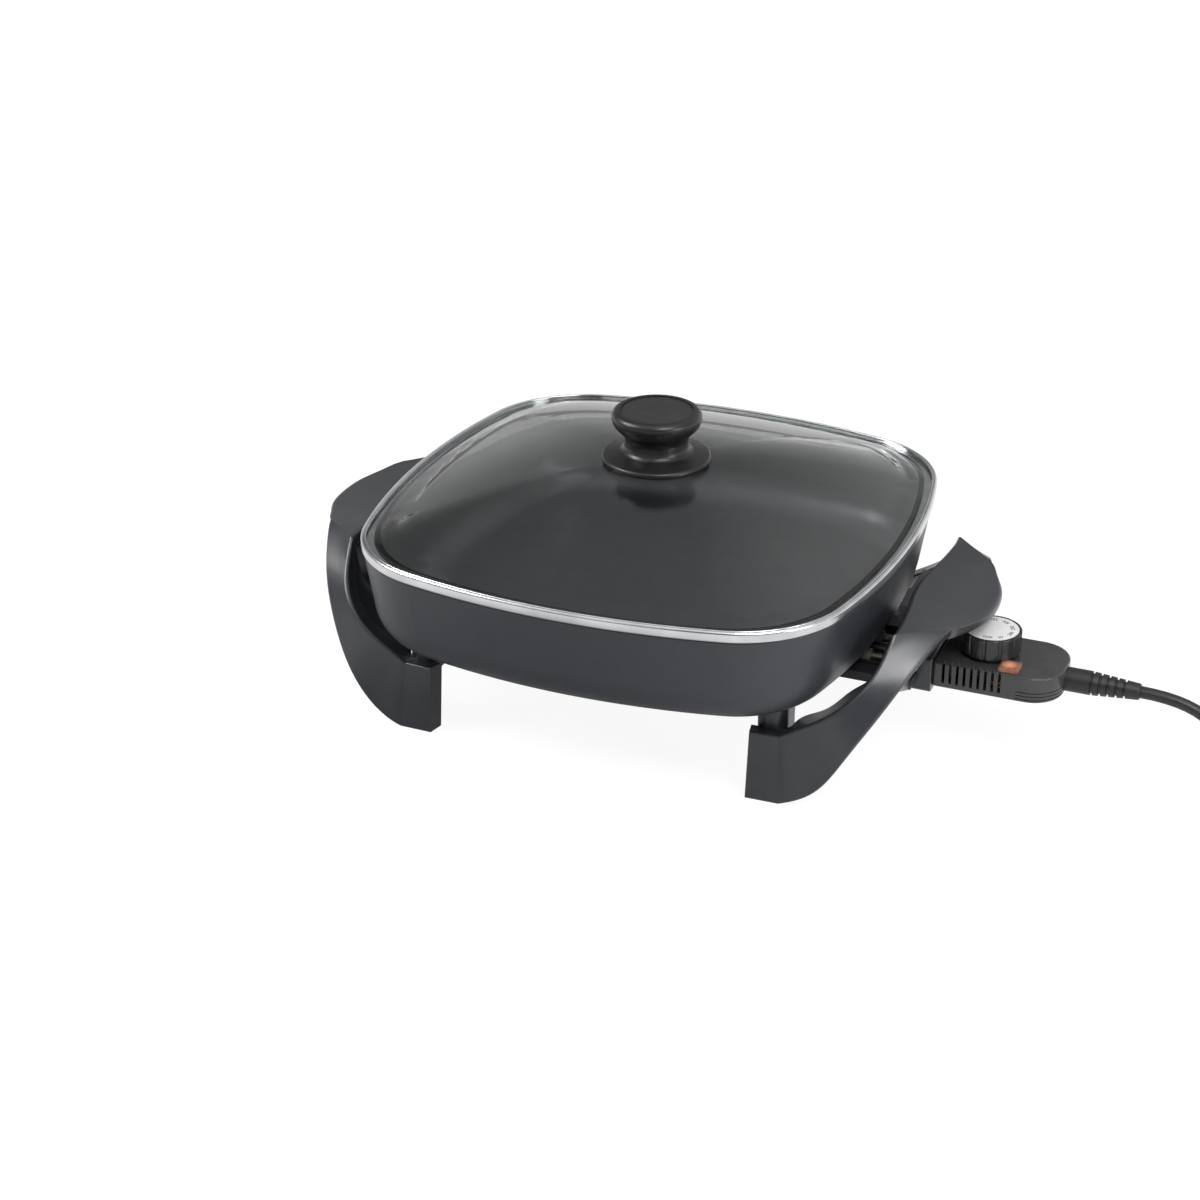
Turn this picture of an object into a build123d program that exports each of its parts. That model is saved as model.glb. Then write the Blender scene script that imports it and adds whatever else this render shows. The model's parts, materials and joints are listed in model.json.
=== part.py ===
from build123d import *
from math import atan2, degrees, pi, radians, sqrt, tan
import os

# Electric skillet: a cast pan with a glass lid, a moulded handle-and-leg unit on each side, and a
# plug-in temperature control on a short mains lead. Millimetres, +Z up, +X towards the control.
# The pieces are drawn about the pan's centre line, over the plane of the four feet, and exported
# with the origin in the middle of the footprint of skillet and control.

os.makedirs("parts", exist_ok=True)

# ---------------------------------------------------------------- driving dimensions

SMALL_EDGE = 0.4                # broken edges of turned and moulded pieces

# Plan of the pan and lid: a square with bowed sides and round corners
RIM_HALF_WIDTH = 155.0          # lid rim, centre to mid-side
SIDE_BOW_RADIUS = 418.0
CORNER_RADIUS = 69.0

# Pan casting
LIP_HEIGHT = 112.5              # table to the pan's lip
PAN_DEPTH = 58.5                # outside, lip to base
RIM_OVERHANG = 1.0              # the lid rim stands this far out over the pan
PAN_LEAN = 9.0                  # degrees, the wall leans inwards towards the base
PAN_WALL = 4.5
PAN_FLOOR = 6.0
BASE_FILLET = 27.0              # outside, wall to base
LIP_ROUND = 1.0

# Heating element, bedded in a ridge under the base
ELEMENT_RADIUS = 3.6
ELEMENT_DROP = 4.0              # its centre line below the base
ELEMENT_HALF_WIDTH = 88.0
ELEMENT_BEND = 30.0
ELEMENT_END_BEND = 14.0
RIDGE_WIDTH = 13.0
RIDGE_DROP = 5.5
RIDGE_END_INSET = 37.0          # from the rim's mid-side
SEAL_LENGTH = 6.0
SEAL_RADIUS = 4.6

# Plug-in connection: two live pins and the sensor stem, all at the element's height
PIN_SPACING = 25.0
PIN_RADIUS = 2.4
PIN_LENGTH = 40.0
PIN_TIP_CHAMFER = 0.8
PIN_CLEARANCE = 0.3
STEM_RADIUS = 3.15
STEM_REACH = 55.0               # out of the control's nose
STEM_TIP_ROUND = 2.5
STEM_CLEARANCE = 0.35
WELL_WALL = 2.2
WELL_LENGTH = 27.0
WELL_END_GAP = 2.0

# Lid
RIM_BAND_HEIGHT = 6.5
RIM_SHEET = 1.2
RIM_FLANGE = 3.2
RIM_TOP_ROUND = 2.2
RIM_BOTTOM_ROUND = 1.4
SKIRT_DROP = 3.0
SKIRT_CLEARANCE = 0.9
GLASS_THICKNESS = 4.1
DOME_INSET = 7.0                # from the rim's outer face to the foot of the dome
DOME_RISE = 29.0
CROWN_HALF_WIDTH = 14.0         # the flat the knob is clamped on
DOME_STATIONS = 6

# Lid knob
KNOB_FLANGE_RADIUS = 31.9
KNOB_FLANGE_EDGE = 3.9
KNOB_FLANGE_RISE = 2.9          # from its edge to the foot of the waist
KNOB_FLANGE_ROUND = 1.8
KNOB_WAIST_RADIUS = 18.6
KNOB_WAIST_FILLET = 4.7
KNOB_WAIST_TOP = 14.6           # above the crown
KNOB_CAP_RADIUS = 26.4
KNOB_CAP_FLARE = 45.0           # degrees, the cap's underside from upright
KNOB_UNDERCUT_FILLET = 6.7
KNOB_CAP_FILLET = 9.0
KNOB_TOP_FILLET = 4.0
KNOB_HEIGHT = 30.2
KNOB_DISC_RADIUS = 21.0
KNOB_DISC_THICKNESS = 1.6
KNOB_DISC_SINK = 0.6            # the disc's face below the knob's top ring
KNOB_SEAT_RADIUS = 20.0         # flat seat on the crown
KNOB_SKIRT_DROP = 1.2           # the flange follows the falling dome by this much
KNOB_SCREW_RADIUS = 2.5
KNOB_HOLE_CLEARANCE = 0.5
KNOB_SCREW_HEAD_RADIUS = 5.0
KNOB_SCREW_HEAD_HEIGHT = 3.0
KNOB_SCREW_BITE = 10.0
INSERT_WALL = 1.8
INSERT_LENGTH = 12.0
WASHER_RADIUS = 9.0
WASHER_THICKNESS = 1.2
GASKET_RADIUS = 11.0
GASKET_THICKNESS = 1.5

# Handle-and-leg blade. Each edge point is given as reach beyond the rim, distance along the side
# and height; the front half is given and the rear half mirrors it.
FOOT_INNER_EDGE = [(-57.5, -111.5, 0.0), (-57.3, -107.5, 40.8)]
LEG_OUTER_EDGE = [(-38.0, -111.0, 0.0), (-15.0, -109.0, 14.0), (-0.5, -106.5, 36.0), (11.5, -97.0, 55.0),
                  (20.8, -85.5, 70.5), (28.8, -70.0, 84.0), (38.2, -44.7, 93.6)]
LEG_INNER_EDGE = [(-41.0, -106.5, 40.8), (-24.0, -105.5, 51.0), (-8.6, -102.0, 61.6), (2.9, -92.0, 74.0),
                  (8.2, -79.5, 85.5), (10.6, -69.5, 96.0)]
WING_OUTER_EDGE = [(38.2, -44.7, 93.6), (46.5, -29.0, 92.3), (52.0, -12.0, 91.6), (52.8, 0.0, 91.5)]
WING_INNER_EDGE = [(10.6, -69.5, 96.0), (8.0, -31.0, 95.2), (5.0, 0.0, 95.0)]
FOOT_DEPTH_DIRECTION = (-0.2, 0.98, 0.0)
LEG_DEPTH_DIRECTION = (-0.5, 0.86, 0.1)
CREASE_DEPTH_DIRECTION = (-0.24, 0.19, -0.95)
LEG_DEPTH = 11.0
CREASE_DEPTH = 8.0
WING_DEPTH = 7.0
LEG_WALL = 5.0                  # wall along the leg's inner edge, behind the blade
LEG_WALL_INSET = 0.7            # from the inner edge
LEG_WALL_ROOT = 4.0             # it starts this deep inside the blade
LEG_WALL_SINK = 1.0             # and its ends stop this far short of the blade's back
LEG_WALL_REACH = 17.0           # how much further back it comes half-way up
LEG_EDGE_ROUND = 1.4
WING_EDGE_ROUND = 2.6
LEG_STATIONS = 8
WING_STATIONS = 8

# Seats between the handle units and the pan
PAN_BOSS_DROP = 1.5             # bosses of the pan stand this far below its base
FOOT_SEAT_INSET = 48.0          # from the rim's mid-side
FOOT_SEAT_Y = 88.0
FOOT_SEAT_WIDTH = 18.0
FOOT_SEAT_LENGTH = 23.0
FOOT_SEAT_DEPTH = 18.0
FOOT_SEAT_ROUND = 7.0
FOOT_BOSS_RADIUS = 7.5
ARM_SEAT_INSET = 38.0
ARM_Y = 32.6
ARM_WIDTH = 11.6
ARM_THICKNESS = 5.5
ARM_BOSS_RADIUS = 5.0
WEB_REACH = 9.0                 # inner face of the upright web, beyond the rim
WEB_THICKNESS = 5.0
WEB_SINK = 4.0                  # the web runs up into the wing by this much
WEB_HALF_WIDTH = 68.0
WEB_SHOULDER = 60.0             # height where its ends begin to draw in
WEB_CORNER_ROUND = 8.0
PAD_REACH = 2.0                 # thicker middle of the web, from this far beyond the rim
PAD_HALF_WIDTH = 25.0
PAD_SINK = 3.0                  # the pad's top below the wing's inner edge
HANDLE_SCREW_RADIUS = 2.0
HANDLE_SCREW_HEAD_RADIUS = 4.0
HANDLE_SCREW_HEAD_HEIGHT = 2.6
SCREW_HOLE_CLEARANCE = 0.3
SCREW_GRIP = 3.0                # plastic between each screw head and the pan boss
SCREW_BITE = 4.6                # length of each screw held in its pan boss
COUNTERBORE_CLEARANCE = 0.5

# Probe guard, a shroud round the pins
GUARD_INSET = 5.0               # its inner end, from the rim's mid-side
GUARD_LENGTH = 28.0
TRAY_LENGTH = 27.0              # its open tray runs in under the pan by this much more
TRAY_GAP = 1.0                  # tray walls below the pan's base
GUARD_DROP = 9.5                # below the connection
GUARD_RISE = 12.2               # above the connection
GUARD_HALF_WIDTH = 25.8
GUARD_WALL = 2.6
GUARD_ROUND = 2.0
GUARD_FIT = 0.3
GUARD_EAR_REACH = 6.4
GUARD_EAR_THICKNESS = 3.2
GUARD_EAR_HEIGHT = 9.0
GUARD_SCREW_RADIUS = 1.5
GUARD_SCREW_HEAD_RADIUS = 2.8
GUARD_SCREW_HEAD_HEIGHT = 1.8

# Temperature control housing
NOSE_GAP = 0.8                  # nose to guard wall, all round
NOSE_SETBACK = 2.0              # nose end behind the guard's inner end
HOUSING_GAP = 0.6               # housing shoulder to the guard's outer end
HOUSING_LENGTH = 71.4
HOUSING_HALF_WIDTH = 24.5
HOUSING_DROP = 5.8              # below the connection
HOUSING_RISE = 10.0             # above the connection
COVER_HEIGHT = 4.4
HOUSING_WALL = 2.0
NOSE_STEP = 0.4                 # the nose's underside is this much above the housing's
HOUSING_END_ROUND = 19.0
HOUSING_SHOULDER_ROUND = 1.5
HOUSING_TOP_ROUND = 1.2
HOUSING_BOTTOM_ROUND = 1.8
GROOVE_COUNT = 3
GROOVE_PITCH = 2.2
GROOVE_WIDTH = 0.7
GROOVE_DEPTH = 0.5
GROOVE_START = 48.0             # from the housing's shoulder
VENT_COUNT = 9
VENT_PITCH = 4.05
VENT_START = 6.0                # from the housing's shoulder
VENT_WIDTH = 1.7
VENT_DEPTH = 3.2
VENT_HEIGHT = 12.4
COVER_SCREW_FRONT = (8.5, 16.0)     # from the shoulder, and to each side
COVER_SCREW_REAR = (56.0, 13.5)
COVER_SCREW_RADIUS = 1.3
COVER_SCREW_HEAD_RADIUS = 2.5
COVER_SCREW_HEAD_HEIGHT = 1.5
COVER_SCREW_CLEARANCE = 0.2
SCREW_POST_RADIUS = 3.2

# Contact block, sleeves and thermostat inside the housing
SLEEVE_WALL = 0.9
SLEEVE_GAP = 0.8                # behind the nose wall
SLEEVE_LENGTH = 19.0
BLOCK_SETBACK = 7.0             # behind the nose end
BLOCK_LENGTH = 9.0
BLOCK_HALF_WIDTH = 18.5
BLOCK_HEIGHT = 8.6
FRAME_START = 3.0               # from the housing's shoulder
FRAME_LENGTH = 42.0
FRAME_HALF_WIDTH = 7.5
FRAME_SHEET = 1.2
FRAME_UPRIGHT = 8.0
BLADE_LENGTH = 33.0
BLADE_WIDTH = 6.5
BLADE_SHEET = 0.7
BLADE_GAP = 1.7
BLADE_END_ROUND = 2.6
INSULATOR_RADIUS = 2.9
CONTACT_RADIUS = 1.6
CONTACT_TAPER = 20.0

# Lamp
LAMP_BEYOND_DIAL = 15.1
LAMP_Y = -15.8
LENS_LENGTH = 12.0
LENS_WIDTH = 12.4
LENS_RISE = 2.2
LENS_ROUND = 1.6
LENS_EDGE_ROUND = 1.5
LENS_STEP = 1.4                 # the lens's foot in the window is narrower by this much, each side
LENS_FIT = 0.15
NEON_RADIUS = 2.4
NEON_LENGTH = 11.0
NEON_TIP_ROUND = 1.9
RESISTOR_RADIUS = 1.1
RESISTOR_LENGTH = 6.0

# Dial
DIAL_PLACE = 26.8               # from the housing's shoulder
DIAL_RADIUS = 17.0
DIAL_GAP = 2.6                  # dial skirt above the housing
DIAL_HEIGHT = 12.4
DIAL_WALL = 2.2
DIAL_HUB_RADIUS = 5.5
DIAL_EDGE_ROUND = 0.7
FLUTE_COUNT = 12
FLUTE_RADIUS = 1.3
FLUTE_OFFSET = 0.55             # flute centre outside the dial's radius
PLATE_RADIUS = 15.3
PLATE_THICKNESS = 0.9
PLATE_SINK = 0.15
PEDESTAL_RADIUS = 13.0
PEDESTAL_GAP = 0.5
SHAFT_RADIUS = 3.0
SHAFT_CLEARANCE = 0.3
SHAFT_SOCKET = 8.0              # length held in the dial's hub
CAM_RADIUS = 6.0
CAM_OFFSET = 2.0
CAM_THICKNESS = 1.4
CAM_GAP = 0.5                   # cam below the cover

# Strain relief
RELIEF_RISE = 1.6               # its axis above the connection
RELIEF_START_RADIUS = 7.0
RELIEF_END_RADIUS = 4.7
RELIEF_NECK_RADIUS = 3.8
RELIEF_FLANGE_RADIUS = 4.9
RELIEF_FLANGE = 2.4
RELIEF_FIT = 0.15
RELIEF_LENGTH = 42.0
RELIEF_STRAIGHT = 14.0          # even thickness before it tapers
RELIEF_END_ROUND = 1.0
RELIEF_RINGS = 5
RELIEF_RING_START = 15.0
RELIEF_RING_PITCH = 4.6
RELIEF_RING_WIDTH = 1.6
RELIEF_RING_DEPTH = 1.2

# Mains lead, lying on the table once it has come down from the control
CORD_RADIUS = 3.5
CORD_ROUTE = [
    (292.0, 0.0, 51.6),
    (316.0, 0.0, 51.6),
    (341.0, -2.0, 37.0),
    (362.0, -1.0, 16.0),
    (384.0, 6.0, 3.6),
    (405.6, 17.9, 3.6),
]
COIL_CENTRE = (387.0, 56.0)
COIL_INNER_RADIUS = 27.6
COIL_OUTER_RADIUS = 46.0
COIL_HEIGHT = 14.4
COIL_EDGE_ROUND = 3.2
TAIL_ROUTE = [
    (426.8, 41.5, 10.6),
    (433.3, 59.6, 8.8),
    (441.0, 77.4, 8.8),
]
PLUG_LENGTH = 31.0
PLUG_TAIL_LENGTH = 15.0
PLUG_WIDTH = 24.0
PLUG_HEIGHT = 17.0
PLUG_TAIL_WIDTH = 12.0
PLUG_TAIL_HEIGHT = 10.0
PLUG_ROUND = 3.5
BLADE_SPACING = 12.7            # two flat blades on half-inch centres
PLUG_BLADE_LENGTH = 17.0
PLUG_BLADE_WIDTH = 6.35
PLUG_BLADE_THICKNESS = 1.5
PLUG_BLADE_ROOT = 4.0

# ---------------------------------------------------------------- worked-out sizes

BASE_HEIGHT = LIP_HEIGHT - PAN_DEPTH
FLOOR_HEIGHT = BASE_HEIGHT + PAN_FLOOR
BOSS_FACE = BASE_HEIGHT - PAN_BOSS_DROP
CONNECTION_HEIGHT = BASE_HEIGHT - ELEMENT_DROP
PIN_Y = PIN_SPACING / 2

BAND_TOP = LIP_HEIGHT + RIM_BAND_HEIGHT
GLASS_BOTTOM = LIP_HEIGHT + RIM_SHEET
GLASS_TOP = GLASS_BOTTOM + GLASS_THICKNESS
CROWN_HEIGHT = GLASS_TOP + DOME_RISE

GUARD_START_X = RIM_HALF_WIDTH - GUARD_INSET
GUARD_END_X = GUARD_START_X + GUARD_LENGTH
GUARD_BOTTOM = CONNECTION_HEIGHT - GUARD_DROP
GUARD_TOP = CONNECTION_HEIGHT + GUARD_RISE
GUARD_EAR_BOTTOM = GUARD_TOP - GUARD_EAR_HEIGHT
GUARD_SCREW_Y = GUARD_HALF_WIDTH + GUARD_EAR_REACH / 2
GUARD_SCREW_Z = GUARD_TOP - GUARD_EAR_HEIGHT / 2
TRAY_START_X = GUARD_START_X - TRAY_LENGTH
TRAY_TOP = BASE_HEIGHT - TRAY_GAP

NOSE_START_X = GUARD_START_X + NOSE_SETBACK
NOSE_HALF_WIDTH = GUARD_HALF_WIDTH - GUARD_WALL - NOSE_GAP
NOSE_TOP = GUARD_TOP - GUARD_WALL - NOSE_GAP
HOUSING_START_X = GUARD_END_X + HOUSING_GAP
HOUSING_END_X = HOUSING_START_X + HOUSING_LENGTH
HOUSING_BOTTOM = CONNECTION_HEIGHT - HOUSING_DROP
HOUSING_TOP = CONNECTION_HEIGHT + HOUSING_RISE
NOSE_BOTTOM = HOUSING_BOTTOM + NOSE_STEP
HOUSING_SPLIT = HOUSING_TOP - COVER_HEIGHT
HOUSING_FLOOR = HOUSING_BOTTOM + HOUSING_WALL
HOUSING_CEILING = HOUSING_TOP - HOUSING_WALL

SLEEVE_BORE = PIN_RADIUS + PIN_CLEARANCE
SLEEVE_RADIUS = SLEEVE_BORE + SLEEVE_WALL
SLEEVE_START_X = NOSE_START_X + HOUSING_WALL + SLEEVE_GAP
PIN_START_X = NOSE_START_X + HOUSING_WALL + SLEEVE_LENGTH - PIN_LENGTH
STEM_TIP_X = NOSE_START_X - STEM_REACH
WELL_START_X = STEM_TIP_X - WELL_END_GAP - WELL_WALL
FRAME_START_X = HOUSING_START_X + FRAME_START

DIAL_X = HOUSING_START_X + DIAL_PLACE
DIAL_BOTTOM = HOUSING_TOP + DIAL_GAP
DIAL_TOP = DIAL_BOTTOM + DIAL_HEIGHT
PEDESTAL_TOP = DIAL_BOTTOM - PEDESTAL_GAP
LAMP_X = DIAL_X + LAMP_BEYOND_DIAL
RELIEF_HEIGHT = CONNECTION_HEIGHT + RELIEF_RISE
ARM_BOTTOM = BOSS_FACE - ARM_THICKNESS
ARM_SPAN = ARM_Y + ARM_WIDTH / 2
WEB_X = RIM_HALF_WIDTH + WEB_REACH
WEB_TOP = WING_OUTER_EDGE[-1][2] - WING_DEPTH + WEB_SINK
PAD_TOP = WING_INNER_EDGE[-1][2] - PAD_SINK
PAD_X = RIM_HALF_WIDTH + PAD_REACH
SCREW_HOLE_RADIUS = HANDLE_SCREW_RADIUS + SCREW_HOLE_CLEARANCE
COUNTERBORE_RADIUS = HANDLE_SCREW_HEAD_RADIUS + COUNTERBORE_CLEARANCE
FOOT_SEAT_X = RIM_HALF_WIDTH - FOOT_SEAT_INSET
ARM_SEAT_X = RIM_HALF_WIDTH - ARM_SEAT_INSET

RELIEF_END_X = HOUSING_END_X + RELIEF_LENGTH
WING_END_X = RIM_HALF_WIDTH + WING_OUTER_EDGE[-1][0]
FOOTPRINT_MIDDLE = (RELIEF_END_X - WING_END_X) / 2

BOTTOM_UP = (Align.CENTER, Align.CENTER, Align.MIN)
FROM_CORNER = (Align.MIN, Align.MIN)
FRONT_AND_REAR = (-1, 1)


# ---------------------------------------------------------------- shared profiles and pieces

def bowed_square(half_width, side_radius, corner_radius):
    """A square with bowed sides and round corners, as eight tangent arcs."""
    side_centre = half_width - side_radius
    reach = side_radius - corner_radius
    corner_centre = (side_centre + sqrt(2 * reach ** 2 - side_centre ** 2)) / 2
    half_sweep = degrees(atan2(corner_centre, corner_centre - side_centre))
    with BuildLine() as outline:
        for turn in (0, 90, 180, 270):
            centre = Vector(side_centre, 0).rotate(Axis.Z, turn)
            CenterArc(centre, side_radius, turn - half_sweep, 2 * half_sweep)
            centre = Vector(corner_centre, corner_centre).rotate(Axis.Z, turn)
            CenterArc(centre, corner_radius, turn + half_sweep, 90 - 2 * half_sweep)
    make_face(outline.edges())


def inset_outline(inset):
    """The rim's plan outline, drawn in parallel by an inset."""
    bowed_square(RIM_HALF_WIDTH - inset, SIDE_BOW_RADIUS - inset, CORNER_RADIUS - inset)


def dome_outline(half_width):
    """The rim's plan outline at a smaller size of the same shape."""
    scale = half_width / RIM_HALF_WIDTH
    bowed_square(half_width, SIDE_BOW_RADIUS * scale, CORNER_RADIUS * scale)


def housing_outline(inset, mode=Mode.ADD):
    """Plan of the control housing: square shoulders, and round corners at the lead's end."""
    front = HOUSING_START_X + inset
    end = HOUSING_END_X - inset
    side = HOUSING_HALF_WIDTH - inset
    end_round = HOUSING_END_ROUND - inset
    rounds = [HOUSING_SHOULDER_ROUND, end_round, end_round, HOUSING_SHOULDER_ROUND]
    with BuildLine() as outline:
        FilletPolyline((front, -side), (end, -side), (end, side), (front, side), radius=rounds, close=True)
    make_face(outline.edges(), mode=mode)


def nose_outline(inset):
    """Plan of the control's nose, run on into the housing so that the two join."""
    start = NOSE_START_X + inset
    end = HOUSING_START_X + HOUSING_WALL + inset
    with Locations(((start + end) / 2, 0)):
        Rectangle(end - start, 2 * (NOSE_HALF_WIDTH - inset))


def beside_pan(point):
    """A point of the right-hand unit: its reach beyond the rim, its place along the side, its height."""
    reach, along, height = point
    return Vector(RIM_HALF_WIDTH + reach, along, height)


def blade_plane(outer, inner, depth_direction):
    """Plane of a blade section: origin on the outer edge, x across to the inner edge, y into its depth."""
    across = inner - outer
    return Plane(origin=outer, x_dir=across, z_dir=across.cross(depth_direction))


def screw(shank_radius, shank_length, head_radius, head_height):
    """Pan-head screw: underside of the head at the origin, shank up +Z, cross recess in the head."""
    with BuildPart() as body:
        Cylinder(shank_radius, shank_length, align=BOTTOM_UP)
        with BuildSketch(Plane.XY.offset(-head_height)):
            Circle(head_radius)
        extrude(amount=head_height)
        fillet(body.edges().group_by(Axis.Z)[0], 0.45 * head_height)
        with BuildSketch(Plane.XY.offset(-head_height)):
            Rectangle(1.1 * head_radius, 0.3 * head_radius)
            Rectangle(0.3 * head_radius, 1.1 * head_radius)
        extrude(amount=0.5 * head_height, mode=Mode.SUBTRACT)
    return body.part


def cut_upwards(x, y, z):
    """Place of a hole that is cut upwards from a downward face."""
    return Plane(origin=(x, y, z), z_dir=(0, 0, -1)).location


def rod(radius, start, length):
    """Plain round bar along +X."""
    with BuildPart() as body:
        with BuildSketch(Plane(origin=start, x_dir=(0, 1, 0), z_dir=(1, 0, 0))):
            Circle(radius)
        extrude(amount=length)
    return body.part


def bend_radii(route):
    """Radius of each tangent arc: as large as 0.45 of the shorter run beside its corner allows."""
    radii = []
    for before, corner, after in zip(route, route[1:], route[2:]):
        run_in = Vector(*corner) - Vector(*before)
        run_out = Vector(*after) - Vector(*corner)
        half_turn = radians(run_in.get_angle(run_out)) / 2
        radii.append(0.45 * min(run_in.length, run_out.length) / tan(half_turn))
    return radii


# ---------------------------------------------------------------- heating element and pins

ELEMENT_PATH = [
    (PIN_START_X, -PIN_Y),
    (ELEMENT_HALF_WIDTH, -PIN_Y),
    (ELEMENT_HALF_WIDTH, -ELEMENT_HALF_WIDTH),
    (-ELEMENT_HALF_WIDTH, -ELEMENT_HALF_WIDTH),
    (-ELEMENT_HALF_WIDTH, ELEMENT_HALF_WIDTH),
    (ELEMENT_HALF_WIDTH, ELEMENT_HALF_WIDTH),
    (ELEMENT_HALF_WIDTH, PIN_Y),
    (PIN_START_X, PIN_Y),
]
ELEMENT_BENDS = [ELEMENT_END_BEND] + 4 * [ELEMENT_BEND] + [ELEMENT_END_BEND]

# One tubular loop with both ends side by side
with BuildPart() as heating_element:
    with BuildLine(Plane.XY.offset(CONNECTION_HEIGHT)):
        loop = FilletPolyline(*ELEMENT_PATH, radius=ELEMENT_BENDS)
    with BuildSketch(Plane(origin=loop @ 0, z_dir=loop % 0)):
        Circle(ELEMENT_RADIUS)
    sweep()
heating_element.part.label = "heating_element"

# Ceramic seals close the tube's ends round the cold pins
with BuildPart() as element_seals:
    for side in FRONT_AND_REAR:
        with BuildSketch(Plane.YZ.offset(PIN_START_X)):
            with Locations((side * PIN_Y, CONNECTION_HEIGHT)):
                Circle(SEAL_RADIUS)
                Circle(PIN_RADIUS, mode=Mode.SUBTRACT)
        extrude(amount=SEAL_LENGTH)
    chamfer(element_seals.faces().sort_by(Axis.X)[-2:].edges(), SMALL_EDGE)
element_seals.part.label = "element_seals"

with BuildPart() as terminal_pins:
    for side in FRONT_AND_REAR:
        add(rod(PIN_RADIUS, (PIN_START_X, side * PIN_Y, CONNECTION_HEIGHT), PIN_LENGTH))
    chamfer(terminal_pins.faces().sort_by(Axis.X)[-2:].edges(), PIN_TIP_CHAMFER)
terminal_pins.part.label = "terminal_pins"

# ---------------------------------------------------------------- pan

CAVITY_DEPTH = PAN_DEPTH - PAN_FLOOR
FOOT_SEATS = [(side * FOOT_SEAT_X, end * FOOT_SEAT_Y) for side in (-1, 1) for end in FRONT_AND_REAR]
ARM_SEATS = [(side * ARM_SEAT_X, end * ARM_Y) for side in (-1, 1) for end in FRONT_AND_REAR]

with BuildPart() as pan_cavity:
    with BuildSketch(Plane.XY.offset(LIP_HEIGHT)):
        inset_outline(RIM_OVERHANG + PAN_WALL)
    extrude(amount=-CAVITY_DEPTH, taper=PAN_LEAN)
    fillet(pan_cavity.edges().group_by(Axis.Z)[0], BASE_FILLET - PAN_WALL)

with BuildPart() as pan:
    with BuildSketch(Plane.XY.offset(LIP_HEIGHT)):
        inset_outline(RIM_OVERHANG)
    extrude(amount=-PAN_DEPTH, taper=PAN_LEAN)
    fillet(pan.edges().group_by(Axis.Z)[0], BASE_FILLET)
    # Bosses for the handle screws
    with BuildSketch(Plane.XY.offset(BOSS_FACE)):
        with Locations(*FOOT_SEATS):
            Circle(FOOT_BOSS_RADIUS)
        with Locations(*ARM_SEATS):
            Circle(ARM_BOSS_RADIUS)
    extrude(amount=PAN_BOSS_DROP + PAN_FLOOR / 2)
    # Ridge that beds the element
    with BuildSketch(Plane.XY.offset(BASE_HEIGHT - RIDGE_DROP)):
        with BuildLine():
            FilletPolyline(
                (RIM_HALF_WIDTH - RIDGE_END_INSET, -PIN_Y), *ELEMENT_PATH[1:-1],
                (RIM_HALF_WIDTH - RIDGE_END_INSET, PIN_Y), radius=ELEMENT_BENDS,
            )
        trace(line_width=RIDGE_WIDTH)
    extrude(amount=RIDGE_DROP + PAN_FLOOR / 2)
    # Well for the sensor stem
    with BuildSketch(Plane.YZ.offset(WELL_START_X)):
        with Locations((0, CONNECTION_HEIGHT)):
            Circle(STEM_RADIUS + STEM_CLEARANCE + WELL_WALL)
            Rectangle(
                2 * (STEM_RADIUS + STEM_CLEARANCE + WELL_WALL), ELEMENT_DROP + PAN_FLOOR / 2,
                align=(Align.CENTER, Align.MIN),
            )
    extrude(amount=WELL_LENGTH)
    add(pan_cavity.part, mode=Mode.SUBTRACT)
    add(heating_element.part, mode=Mode.SUBTRACT)
    well_bore = (STEM_TIP_X - WELL_END_GAP, 0, CONNECTION_HEIGHT)
    add(rod(STEM_RADIUS + STEM_CLEARANCE, well_bore, WELL_LENGTH), mode=Mode.SUBTRACT)
    with Locations(*[(x, y, BOSS_FACE) for x, y in FOOT_SEATS + ARM_SEATS]):
        Cylinder(HANDLE_SCREW_RADIUS, SCREW_BITE, align=BOTTOM_UP, mode=Mode.SUBTRACT)
    fillet(pan.edges().group_by(Axis.Z)[-1], LIP_ROUND)
pan.part.label = "pan"

# ---------------------------------------------------------------- handle-and-leg units

with BuildLine() as blade_edges:
    leg_outer = Spline(*[beside_pan(point) for point in LEG_OUTER_EDGE])
    leg_inner = Spline(*[beside_pan(point) for point in LEG_INNER_EDGE])
    rear_outer = [(reach, -along, height) for reach, along, height in WING_OUTER_EDGE[-2::-1]]
    rear_inner = [(reach, -along, height) for reach, along, height in WING_INNER_EDGE[-2::-1]]
    wing_outer = Spline(*[beside_pan(point) for point in WING_OUTER_EDGE + rear_outer])
    wing_inner = Spline(*[beside_pan(point) for point in WING_INNER_EDGE + rear_inner])

at_foot = Vector(*FOOT_DEPTH_DIRECTION)
at_leg = Vector(*LEG_DEPTH_DIRECTION)
at_front_crease = Vector(*CREASE_DEPTH_DIRECTION)
at_rear_crease = Vector(at_front_crease.X, -at_front_crease.Y, at_front_crease.Z)

# The foot: a straight block that the leg grows out of
with BuildPart() as foot_block:
    foot_bottom, foot_top = [beside_pan(point) for point in FOOT_INNER_EDGE]
    for outer, inner in ((foot_bottom, foot_top), (leg_outer @ 0, leg_inner @ 0)):
        with BuildSketch(blade_plane(outer, inner, at_foot)):
            RectangleRounded((inner - outer).length, LEG_DEPTH, LEG_EDGE_ROUND, align=FROM_CORNER)
    loft(ruled=True)

def leg_section(station):
    """Outer and inner edge, depth direction and depth of one section of the leg."""
    share = station / LEG_STATIONS
    rest = 1 - share
    turned = at_foot * rest ** 2 + at_leg * (2 * rest * share) + at_front_crease * share ** 2
    depth = LEG_DEPTH + (CREASE_DEPTH - LEG_DEPTH) * share
    return leg_outer @ share, leg_inner @ share, turned, depth, share


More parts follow.
